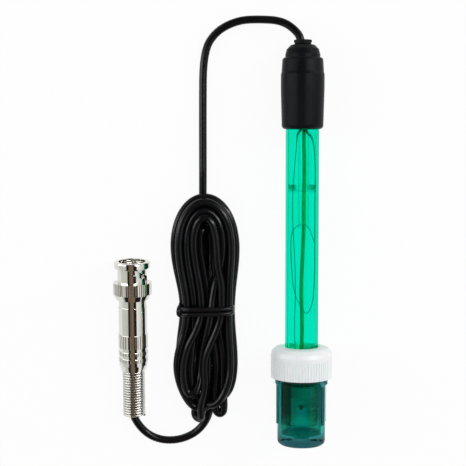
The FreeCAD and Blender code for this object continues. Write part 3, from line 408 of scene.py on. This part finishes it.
link(walls.outputs[0], walls_or_mirrored.inputs[1])
link(mirrored.outputs[0], walls_or_mirrored.inputs[2])
link(seen_by.outputs["Is Camera Ray"], or_backdrop.inputs["Fac"])
link(walls_or_mirrored.outputs[0], or_backdrop.inputs[1])
link(backdrop.outputs[0], or_backdrop.inputs[2])
link(or_backdrop.outputs[0], sky_out.inputs["Surface"])
for name, place, power, width, length in LAMPS:
    lamp = bpy.data.lights.new(name, "AREA")
    lamp.shape = "RECTANGLE"
    lamp.size = width
    lamp.size_y = length
    lamp.energy = power
    holder = bpy.data.objects.new(name, lamp)
    bpy.context.scene.collection.objects.link(holder)
    holder.location = place
    holder.rotation_euler = (Vector(place) - Vector(LAMP_AIM)).to_track_quat("Z", "Y").to_euler()


# The electrode's body: a clear tube of green plastic, 12 mm across with a wall of 1 mm. It is drawn
# out of the melt, which leaves faint streaks along it. Beside the bore it is the wall alone, deeper in
# colour.
BORE_RADIUS, WALL_GREEN = 0.0050, (0.003, 0.62, 0.36)
streak_group, start, end = new_group("streaks", {"Across": 400, "Along": 6}, ("Streaks",))
where = put(streak_group, "ShaderNodeTexCoord")
stretch = put(streak_group, "ShaderNodeCombineXYZ")
stretched = put(streak_group, "ShaderNodeVectorMath", operation="MULTIPLY")
streaks = put(streak_group, "ShaderNodeTexNoise", Scale=1.0, Detail=3.0)
spread = put(streak_group, "ShaderNodeMapRange", From_Min=0.35, From_Max=0.65)
link = streak_group.links.new
link(start.outputs["Across"], stretch.inputs["X"])
link(start.outputs["Along"], stretch.inputs["Y"])
link(start.outputs["Across"], stretch.inputs["Z"])
link(where.outputs["Object"], stretched.inputs[0])
link(stretch.outputs[0], stretched.inputs[1])
link(stretched.outputs[0], streaks.inputs["Vector"])
link(streaks.outputs["Fac"], spread.inputs["Value"])
link(spread.outputs[0], end.inputs["Streaks"])


def band(tree, axis, low, high, edge):
    """A mask that is 1 between two places across or along the table, given in metres."""
    where = put(tree, "ShaderNodeTexCoord")
    parts = put(tree, "ShaderNodeSeparateXYZ")
    tree.links.new(where.outputs["Object"], parts.inputs[0])
    sides = []
    for place, rises in ((low, True), (high, False)):
        step = put(tree, "ShaderNodeMapRange", From_Min=place - edge, From_Max=place + edge)
        step.inputs["To Min"].default_value = 0 if rises else 1
        step.inputs["To Max"].default_value = 1 if rises else 0
        tree.links.new(parts.outputs[axis], step.inputs["Value"])
        sides.append(step.outputs[0])
    both = put(tree, "ShaderNodeMath", operation="MULTIPLY")
    tree.links.new(sides[0], both.inputs[0])
    tree.links.new(sides[1], both.inputs[1])
    return both.outputs[0]


def see_through(name, colour, streaked, shadow, streak=(400, 6), edge=None, **sockets):
    """A clear piece: its tint, the tint in its streaks, and the tint of the light that it lets by.
    An edge is the tint where the wall is seen along its length, with how squarely it is seen there."""
    material, tree, output = new_material(name)
    link = tree.links.new
    shader = put(tree, "ShaderNodeBsdfPrincipled")
    shader.inputs["Transmission Weight"].default_value = 1.0
    for socket, amount in sockets.items():
        shader.inputs[socket.replace("_", " ")].default_value = amount
    streaks = put(tree, "ShaderNodeGroup", node_tree=streak_group)
    streaks.inputs["Across"].default_value = streak[0]
    streaks.inputs["Along"].default_value = streak[1]
    tint = mixed(tree, streaks.outputs["Streaks"], colour, streaked)
    if edge:
        turned_away = put(tree, "ShaderNodeLayerWeight", Blend=0.5)
        at_edge = put(tree, "ShaderNodeMapRange", From_Min=edge[1], From_Max=edge[2])
        link(turned_away.outputs["Facing"], at_edge.inputs["Value"])
        tint = mixed(tree, at_edge.outputs[0], tint, edge[0])
    link(tint, shader.inputs["Base Color"])
    lets_by = put(tree, "ShaderNodeBsdfTransparent")
    lets_by.inputs["Color"].default_value = (*shadow, 1)
    seen_by = put(tree, "ShaderNodeLightPath")
    either = put(tree, "ShaderNodeMixShader")
    link(seen_by.outputs["Is Shadow Ray"], either.inputs["Fac"])
    link(shader.outputs[0], either.inputs[1])
    link(lets_by.outputs[0], either.inputs[2])
    link(either.outputs[0], output.inputs["Surface"])
    return material, tree, shader


tube_green, tree, shader = see_through(
    "tube_green", (0.035, 0.84, 0.64), (0.030, 0.91, 0.76), (0.35, 0.95, 0.85),
    Roughness=0.02, IOR=1.05, Coat_Weight=0.01, Coat_Roughness=0.05)
tint = shader.inputs["Base Color"].links[0].from_socket
bore = band(tree, "X", -BORE_RADIUS, BORE_RADIUS, 0.0001)
tree.links.new(mixed(tree, bore, WALL_GREEN, tint), shader.inputs["Base Color"])
dress(tube_green, "body_tube")


# The measuring end: a glass stem with the platinum tip sealed in it, held by a white plug in the
# tube's mouth. The white porous pin beside it is the junction.
stem_glass, _, _ = see_through("stem_glass", (0.90, 0.98, 0.95), (0.94, 1.0, 0.98), (0.9, 1.0, 0.98),
                               edge=((0.20, 0.62, 0.50), 0.45, 0.75), Roughness=0.01, IOR=1.12,
                               Coat_Weight=0.3, Coat_Roughness=0.03)
dress(stem_glass, "sensor_stem", "reference_tube")
platinum = finish("platinum", (0.78, 0.77, 0.74), (0.66, 0.65, 0.62), (0.12, 0.3),
                  grain=(3000, 0.15), Metallic=1.0)
dress(platinum, "platinum_tip")
plug_white = finish("plug_white", (0.74, 0.75, 0.72), (0.64, 0.66, 0.62), (0.35, 0.55), grain=(2500, 0.12))
dress(plug_white, "tip_plug")
porous = finish("porous", (0.80, 0.78, 0.72), (0.66, 0.64, 0.58), (0.8, 0.95),
                grain=(6000, 0.8), patch_scale=900)
dress(porous, "junction")


# The lead and the two silver wires in the tube. The green lead comes from the resin and wanders
# down to the stem. The wires are bare, dipped in resin at the top, and the right one makes a long
# loose loop in the gel. Their places are given in the electrode's own frame: across it, out of it and
# up it from its tip.
TUBE_LEAN = math.radians(1.8769)
electrode_frame = Matrix((
    (1, 0, 0, 0),
    (0, -math.sin(TUBE_LEAN), math.cos(TUBE_LEAN), -65.098),
    (0, -math.cos(TUBE_LEAN), -math.sin(TUBE_LEAN), 11.916),
    (0, 0, 0, 1),
))
LEAD_FOOT, BUNG_FOOT = 20.0, 107.2
LEAD_ROUTE = (
    (0.45, 0, 1.158), (0.45, 0, 0.953), (0.80, -0.1, 0.826), (0.55, 0.2, 0.688), (0.65, 0, 0.573),
    (-0.3, -0.3, 0.344), (0.2, 0.1, 0.206), (0.1, 0, 0.103), (0, 0, 0),
)
REFERENCE_ROUTE = (
    (0.8, -1.6, 1), (1.2, -1.6, 0.978), (3.1, -1.8, 0.964), (4.1, -1.8, 0.92), (4.5, -1.5, 0.82),
    (4.3, -1.9, 0.70), (4.4, -1.6, 0.50), (4.3, -1.7, 0.34), (3.6, -2.4, 0.27), (1.6, -2.8, 0.225),
    (-0.6, -2.9, 0.265), (-2.8, -2.7, 0.315), (-3.7, -2.3, 0.40), (-4.1, -2.2, 0.50),
    (-4.0, -2.4, 0.565), (-2.2, -3.1, 0.598), (0.4, -3.3, 0.604), (2.8, -2.9, 0.585), (4.1, -2.2, 0.53),
)
GROUND_ROUTE = (
    (0.2, -1.2, 1), (-0.9, -1.3, 0.984), (-1.9, -1.3, 0.974), (-2.1, -1.5, 0.94), (-2.4, -1.6, 0.894),
    (-3.4, -1.0, 0.757), (-3.5, -1.6, 0.607), (-2.5, -1.1, 0.459), (-2.3, -1.6, 0.298),
    (-2.7, -1.0, 0.149), (-2.1, -1.4, 0.023),
)
LEAD_RADIUS, WIRE_RADIUS, DIPPED = 0.68, 0.14, (3.2, 3.4, 2.6)


def in_the_tube(name, route, radius, sides, node, material, thick=()):
    """A lead or wire in the tube. Its route's last number is the share of the way up to the bung."""
    places = [electrode_frame @ Vector((across, out, LEAD_FOOT + share * (BUNG_FOOT - LEAD_FOOT)))
              for across, out, share in route]
    wire = cable(name, places, radius, steps=6, sides=sides, thick=thick)
    bpy.ops.object.select_all(action="DESELECT")
    wire.select_set(True)
    bpy.context.view_layer.objects.active = wire
    bpy.ops.object.convert(target="MESH")
    wire = bpy.context.active_object
    bpy.ops.object.shade_smooth()
    wire.data.materials.append(material)
    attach(wire, "electrode")
    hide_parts(node)


lead_green = finish("lead_green", (0.10, 0.22, 0.055), (0.15, 0.34, 0.09), (0.35, 0.5), grain=(1800, 0.2))
wire_silver = finish("wire_silver", (0.03, 0.15, 0.09), (0.05, 0.22, 0.14), (0.35, 0.5),
                     grain=(4000, 0.2), Metallic=0.3)
in_the_tube("lead", LEAD_ROUTE, LEAD_RADIUS, 3, "sensor_lead", lead_green)
in_the_tube("looped_wire", REFERENCE_ROUTE, WIRE_RADIUS, 1, "reference_wire", wire_silver, DIPPED)
in_the_tube("left_wire", GROUND_ROUTE, WIRE_RADIUS, 1, "ground_wire", wire_silver, DIPPED)


# The gel that fills the tube: a clear green block that clings to the wall, so that its top is hollow.
# A darker ring of painted shade lies in its tint there, most at the sides, where one looks along it.
GEL_RADIUS, GEL_FOOT, GEL_TOP = 4.97, 14.05, 86.7
GEL_HOLLOW = ((0.05, 0.5), (0.45, 0.95), (1.2, 0.7), (1.6, 0.25))
RING_LOW, RING_HIGH, RING_PAINTED_SHADE = 0.0190, 0.0219, (0.46, 0.68, 0.58)


def retint(tree, shader, mask, tone):
    """Lays one more tint over a clear piece where the mask is 1."""
    tint = shader.inputs["Base Color"].links[0].from_socket
    tree.links.new(mixed(tree, mask, tint, tone), shader.inputs["Base Color"])


bpy.ops.object.select_all(action="DESELECT")
bpy.ops.mesh.primitive_cylinder_add(vertices=96, radius=GEL_RADIUS, depth=GEL_TOP - GEL_FOOT,
                                    location=(0, 0, (GEL_TOP + GEL_FOOT) / 2))
gel = bpy.context.active_object
gel.name = "gel"
bpy.ops.object.transform_apply(location=True, rotation=True, scale=True)
bpy.ops.object.mode_set(mode="EDIT")
bpy.ops.mesh.select_mode(type="FACE")
bpy.ops.mesh.select_all(action="DESELECT")
bpy.ops.object.mode_set(mode="OBJECT")
for face in gel.data.polygons:
    face.select = face.center.z > GEL_TOP - 0.01
bpy.ops.object.mode_set(mode="EDIT")
for inset, drop in GEL_HOLLOW:
    bpy.ops.mesh.inset(thickness=inset)
    bpy.ops.transform.translate(value=(0, 0, -drop))
bpy.ops.object.mode_set(mode="OBJECT")
gel.data.transform(Matrix.Scale(0.001, 4) @ electrode_frame)
bpy.ops.object.shade_smooth_by_angle(angle=math.radians(50))
gel_clear, tree, shader = see_through("gel_clear", (0.86, 1.0, 0.985), (0.94, 1.0, 1.0), (0.95, 1.0, 1.0),
                                      streak=(500, 9), Roughness=0.03, IOR=1.02)
# The painted shade: a darker ring in the gel's tint near its top, away from its middle.
where = put(tree, "ShaderNodeTexCoord")
parts = put(tree, "ShaderNodeSeparateXYZ")
from_middle = put(tree, "ShaderNodeMath", operation="ABSOLUTE")
outside = put(tree, "ShaderNodeMapRange", From_Min=0.0016, From_Max=0.0030)
ring = put(tree, "ShaderNodeMath", operation="MULTIPLY")
link = tree.links.new
link(where.outputs["Object"], parts.inputs[0])
link(parts.outputs["X"], from_middle.inputs[0])
link(from_middle.outputs[0], outside.inputs["Value"])
link(outside.outputs[0], ring.inputs[0])
link(band(tree, "Y", RING_LOW, RING_HIGH, 0.0005), ring.inputs[1])
retint(tree, shader, ring.outputs[0], RING_PAINTED_SHADE)
gel.data.materials.append(gel_clear)
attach(gel, "electrode")
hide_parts("gel_fill")


# The black cap: a long sleeve of satin plastic pressed over the tube, with a domed end cap on it, and
# a grommet round the cord. The bung and the cast resin under it are dark too.
cap_satin = finish("cap_satin", (0.0040, 0.0046, 0.0064), (0.0056, 0.0063, 0.0084), (0.30, 0.42),
                   grain=(1500, 0.12), patch_scale=160, Specular_IOR_Level=0.07)
dress(cap_satin, "cap_sleeve", "end_cap")
grommet_black = finish("grommet_black", (0.0045, 0.005, 0.0065), (0.007, 0.0075, 0.009), (0.45, 0.6),
                       grain=(1200, 0.2), Specular_IOR_Level=0.12)
dress(grommet_black, "cable_grommet")
bung_black = finish("bung_black", (0.005, 0.008, 0.008), (0.008, 0.012, 0.012), (0.5, 0.7), grain=(1200, 0.3))
dress(bung_black, "seal_plug", "potting")


# The storage bottle: moulded in clear teal plastic, with eight ribs to grip it by, a thick flat
# bottom, and a thread on its neck for the screw cap. Its right side is scuffed.
# The tints lie one over another, mostly painted light and shade: painted shade on the left side, a
# painted dark rib at the right and a painted highlight beyond it, painted light from the floor over
# the bottom, the darker bottom, and a last painted shade on both sides.
BOTTLE_PAINTED_LIGHT_AND_SHADE = (
    ("X", -0.0090, -0.0040, 0.0004, (0.004, 0.14, 0.12)),
    ("X", 0.0066, 0.0086, 0.0003, (0.010, 0.16, 0.18)),
    ("X", 0.0086, 0.0120, 0.0002, (0.55, 0.90, 0.88)),
    ("Y", -0.0690, -0.0648, 0.0008, (0.02, 0.52, 0.42)),
    ("Y", -0.0760, -0.0690, 0.0007, (0.018, 0.10, 0.115)),
    ("X", -0.0100, -0.0076, 0.0004, (0.012, 0.17, 0.17)),
    ("X", 0.0076, 0.0086, 0.0004, (0.012, 0.17, 0.17)),
)
SCUFF_PLACE, SCUFF_SIZE, SCUFF_TURN = (0.0042, -0.0585, 0.019), (0.0042, 0.0050, 0.004), -35
SCUFF_PALE = (0.55, 0.85, 0.80)
bottle_teal, tree, shader = see_through(
    "bottle_teal", (0.024, 0.33, 0.31), (0.038, 0.40, 0.37), (0.2, 0.6, 0.55), streak=(260, 12),
    edge=((0.010, 0.17, 0.17), 0.50, 0.80), Roughness=0.04, IOR=1.14, Coat_Weight=0.03, Coat_Roughness=0.04)
link = tree.links.new
# Each band lays painted light or painted shade over the teal; the bottom's band is only darker.
for axis, low, high, blur, tone in BOTTLE_PAINTED_LIGHT_AND_SHADE:
    retint(tree, shader, band(tree, axis, low, high, blur), tone)
where = put(tree, "ShaderNodeTexCoord")
at_scuff = put(tree, "ShaderNodeMapping", vector_type="TEXTURE")
at_scuff.inputs["Location"].default_value = SCUFF_PLACE
at_scuff.inputs["Rotation"].default_value = (0, 0, math.radians(SCUFF_TURN))
at_scuff.inputs["Scale"].default_value = SCUFF_SIZE
fades = put(tree, "ShaderNodeTexGradient", gradient_type="SPHERICAL")
marks = put(tree, "ShaderNodeVectorMath", operation="MULTIPLY")
marks.inputs[1].default_value = (3.2, 1.1, 1.0)
scored = put(tree, "ShaderNodeTexNoise", Scale=3.0, Detail=5.0, Roughness=0.7)
kept = put(tree, "ShaderNodeMapRange", From_Min=0.60, From_Max=0.66)
scuff = put(tree, "ShaderNodeMath", operation="MULTIPLY")
raised = put(tree, "ShaderNodeBump", Strength=0.9, Distance=0.0003)
rougher = put(tree, "ShaderNodeMapRange", To_Min=0.04, To_Max=0.55)
link(where.outputs["Object"], at_scuff.inputs["Vector"])
link(at_scuff.outputs[0], fades.inputs["Vector"])
link(at_scuff.outputs[0], marks.inputs[0])
link(marks.outputs[0], scored.inputs["Vector"])
link(scored.outputs["Fac"], kept.inputs["Value"])
link(kept.outputs[0], scuff.inputs[0])
link(fades.outputs["Fac"], scuff.inputs[1])
link(scuff.outputs[0], raised.inputs["Height"])
link(scuff.outputs[0], rougher.inputs["Value"])
link(rougher.outputs[0], shader.inputs["Roughness"])
link(raised.outputs[0], shader.inputs["Normal"])
retint(tree, shader, scuff.outputs[0], SCUFF_PALE)
dress(bottle_teal, "storage_bottle")

# The thread's root and crest are its radii, each with half its width along the neck.
THREAD_ROOT, THREAD_ROOT_HALF, THREAD_CREST, THREAD_CREST_HALF = 8.2, 0.6, 8.55, 0.2
THREAD_FOOT, THREAD_PITCH, THREAD_TURNS, THREAD_STEPS = 18.2, 2.5, 2, 72
bpy.ops.object.select_all(action="DESELECT")
bpy.ops.mesh.primitive_plane_add(size=1, location=(0, 0, 0))
thread = bpy.context.active_object
thread.name = "neck_thread"
thread_profile = ((THREAD_ROOT, 0, -THREAD_ROOT_HALF), (THREAD_CREST, 0, -THREAD_CREST_HALF),
                  (THREAD_ROOT, 0, THREAD_ROOT_HALF), (THREAD_CREST, 0, THREAD_CREST_HALF))
for corner, place in zip(thread.data.vertices, thread_profile):
    corner.co = place
turning = thread.modifiers.new("turning", "SCREW")
turning.angle = math.tau
turning.screw_offset = THREAD_PITCH
turning.iterations = THREAD_TURNS
turning.steps = turning.render_steps = THREAD_STEPS
bpy.ops.object.mode_set(mode="EDIT")
bpy.ops.mesh.select_all(action="SELECT")
bpy.ops.mesh.delete(type="ONLY_FACE")
bpy.ops.object.mode_set(mode="OBJECT")
bpy.ops.object.modifier_apply(modifier="turning")
bpy.ops.object.mode_set(mode="EDIT")
bpy.ops.mesh.select_all(action="SELECT")
bpy.ops.mesh.fill_holes(sides=4)
bpy.ops.mesh.normals_make_consistent(inside=False)
bpy.ops.object.mode_set(mode="OBJECT")
thread.data.transform(Matrix.Scale(0.001, 4) @ electrode_frame @ Matrix.Translation((0, 0, THREAD_FOOT)))
bpy.ops.object.shade_smooth_by_angle(angle=math.radians(35))
thread.data.materials.append(bottle_teal)
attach(thread, "bottle")


# The bottle's seals: a dark gasket round the neck under the screw cap, and a dark ring on the tube
# with a slippery white washer on it, which the cap squeezes onto the tube.
seal_black = finish("seal_black", (0.004, 0.006, 0.007), (0.009, 0.012, 0.013), (0.35, 0.6),
                    grain=(1500, 0.25))
dress(seal_black, "neck_gasket", "seal_ring")
slip_white = finish("slip_white", (0.78, 0.78, 0.76), (0.70, 0.70, 0.67), (0.25, 0.4), grain=(2500, 0.05))
dress(slip_white, "slip_washer")


# The screw cap: a white ring with 64 fine flutes, moulded in satin plastic that lets a little light
# into its skin.
screw_cap_white = finish("screw_cap_white", (0.86, 0.885, 0.90), (0.83, 0.86, 0.875), (0.30, 0.42),
                         grain=(1800, 0.08), Subsurface_Weight=0.15, Subsurface_Scale=0.002)
dress(screw_cap_white, "bottle_cap")


# The plug: turned from brass and plated with bright nickel. The body, the nut with its two curved
# slots and the sleeve are separate pieces. Fine lines from the lathe run round them all.
lathe_group, start, end = new_group("lathe_lines", {"Lines": 9000}, ("Lines",))
where = put(lathe_group, "ShaderNodeTexCoord")
stretch = put(lathe_group, "ShaderNodeCombineXYZ", X=40.0, Z=40.0)
stretched = put(lathe_group, "ShaderNodeVectorMath", operation="MULTIPLY")
lines = put(lathe_group, "ShaderNodeTexNoise", Scale=1.0, Detail=2.0)
link = lathe_group.links.new
link(start.outputs["Lines"], stretch.inputs["Y"])
link(where.outputs["Object"], stretched.inputs[0])
link(stretch.outputs[0], stretched.inputs[1])
link(stretched.outputs[0], lines.inputs["Vector"])
link(lines.outputs["Fac"], end.inputs["Lines"])


def plated(name, colour, smudged, gloss, lines, depth):
    """A plated, turned finish: its colour and roughness, clean and smudged, and its lathe lines."""
    material, tree, output = new_material(name)
    link = tree.links.new
    shader = put(tree, "ShaderNodeBsdfPrincipled", Metallic=1.0)
    skin = put(tree, "ShaderNodeGroup", node_tree=skin_group)
    skin.inputs["Patch Scale"].default_value = 220
    turned = put(tree, "ShaderNodeGroup", node_tree=lathe_group)
    turned.inputs["Lines"].default_value = lines
    shine = put(tree, "ShaderNodeMapRange", To_Min=gloss[0], To_Max=gloss[1])
    raised = put(tree, "ShaderNodeBump", Strength=depth, Distance=0.00005)
    link(skin.outputs["Patches"], shine.inputs["Value"])
    link(shine.outputs[0], shader.inputs["Roughness"])
    link(mixed(tree, skin.outputs["Patches"], colour, smudged), shader.inputs["Base Color"])
    link(turned.outputs["Lines"], raised.inputs["Height"])
    link(raised.outputs[0], shader.inputs["Normal"])
    link(shader.outputs[0], output.inputs["Surface"])
    return material


nickel = plated("nickel", (0.74, 0.73, 0.69), (0.68, 0.67, 0.63), (0.06, 0.13), 9000, 0.06)
dress(nickel, "connector_body", "bayonet_nut", "back_body", "rear_sleeve")
washer_steel = plated("washer_steel", (0.60, 0.60, 0.58), (0.50, 0.50, 0.48), (0.18, 0.30), 14000, 0.15)
dress(washer_steel, "wave_washer", "thrust_washer")
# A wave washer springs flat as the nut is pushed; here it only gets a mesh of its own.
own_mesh(nodes["wave_washer"])
insulator_white = finish("insulator_white", (0.80, 0.80, 0.77), (0.72, 0.72, 0.69), (0.25, 0.4),
                         grain=(2500, 0.05))
dress(insulator_white, "insulator")
dress(seal_black, "face_gasket")
gold = plated("gold", (0.86, 0.62, 0.26), (0.78, 0.54, 0.22), (0.14, 0.26), 14000, 0.10)
dress(gold, "centre_pin")


# The cord's end in the plug: its copper core goes to the pin, and a brass ferrule is squeezed on
# its screen.
ferrule_brass = plated("ferrule_brass", (0.62, 0.58, 0.48), (0.52, 0.48, 0.40), (0.22, 0.36), 9000, 0.2)
dress(ferrule_brass, "clamp_ferrule")
core_copper = plated("core_copper", (0.80, 0.42, 0.26), (0.66, 0.33, 0.20), (0.25, 0.4), 14000, 0.2)
dress(core_copper, "core_wire")


# The strain relief: a close-wound spring of steel wire, 0.94 mm thick, in the sleeve's mouth, with
# 21 turns.
SPRING_RADIUS, SPRING_WIRE, SPRING_PITCH, SPRING_TURNS = 3.68, 0.47, 0.95, 21
SPRING_FOOT, SPRING_SIDES, SPRING_STEPS = 38.07, 10, 32
PLUG_LEAN = math.radians(3.4998)
plug_frame = Matrix((
    (1, 0, 0, -61.5),
    (0, -math.sin(PLUG_LEAN), -math.cos(PLUG_LEAN), -6.4),
    (0, math.cos(PLUG_LEAN), -math.sin(PLUG_LEAN), 7.713),
    (0, 0, 0, 1),
))
bpy.ops.object.select_all(action="DESELECT")
bpy.ops.mesh.primitive_circle_add(vertices=SPRING_SIDES, radius=SPRING_WIRE,
                                  location=(SPRING_RADIUS, 0, 0), rotation=(math.radians(90), 0, 0))
spring = bpy.context.active_object
spring.name = "strain_coil"
bpy.ops.object.transform_apply(location=True, rotation=True, scale=True)
coiling = spring.modifiers.new("coiling", "SCREW")
coiling.angle = math.tau
coiling.screw_offset = SPRING_PITCH
coiling.iterations = SPRING_TURNS
coiling.steps = coiling.render_steps = SPRING_STEPS
bpy.ops.object.modifier_apply(modifier="coiling")
bpy.ops.object.mode_set(mode="EDIT")
bpy.ops.mesh.select_all(action="SELECT")
bpy.ops.mesh.remove_doubles(threshold=0.001)
bpy.ops.mesh.fill_holes(sides=SPRING_SIDES)
bpy.ops.mesh.normals_make_consistent(inside=False)
bpy.ops.object.mode_set(mode="OBJECT")
spring.data.transform(Matrix.Scale(0.001, 4) @ plug_frame @ Matrix.Translation((0, 0, SPRING_FOOT)))
bpy.ops.object.shade_smooth_by_angle(angle=math.radians(50))
spring_steel = finish("spring_steel", (0.66, 0.655, 0.62), (0.56, 0.55, 0.52), (0.16, 0.28),
                      grain=(6000, 0.1), Metallic=1.0)
spring.data.materials.append(spring_steel)
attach(spring, "electrode")
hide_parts("strain_spring")


# The tie: a thin black band of coated wire, wound twice round the hank's waist, with its ends twisted
# into a small loop at the left.
TIE_RADIUS, TIE_HALF_WIDTH, TIE_FLATNESS, TIE_STEPS = 0.85, 9.5, 3.4, 28
TIE_LOW, TIE_HIGH, TIE_MIDDLE = 0.9, 9.75, -34.4
TIE_ALONG, TIE_PITCH, TIE_TURNS = -22.5, 1.75, 2
TIE_LOOP = ((-44.2, -26.4, 6.6), (-44.6, -26.0, 8.0), (-44.7, -24.8, 8.4), (-44.5, -23.6, 7.6),
            (-44.2, -23.2, 6.2))
tie_route = []
for step in range(TIE_TURNS * TIE_STEPS + 1):
    angle = math.tau * step / TIE_STEPS + math.pi
    across = math.copysign(abs(math.cos(angle)) ** (2 / TIE_FLATNESS), math.cos(angle))
    up = math.copysign(abs(math.sin(angle)) ** (2 / TIE_FLATNESS), math.sin(angle))
    tie_route.append(Vector((TIE_MIDDLE + TIE_HALF_WIDTH * across, TIE_ALONG - TIE_PITCH * step / TIE_STEPS,
                             (TIE_HIGH + TIE_LOW) / 2 + (TIE_HIGH - TIE_LOW) / 2 * up)))
tie_route += [Vector(point) for point in TIE_LOOP]
tie = cable("tie", tie_route, TIE_RADIUS, steps=4, sides=3)
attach(tie, "electrode")
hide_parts("hank_tie")
tie_black = finish("tie_black", (0.003, 0.0032, 0.0045), (0.006, 0.0065, 0.009), (0.18, 0.34),
                   grain=(1500, 0.15), Specular_IOR_Level=0.3)
tie.data.materials.append(tie_black)
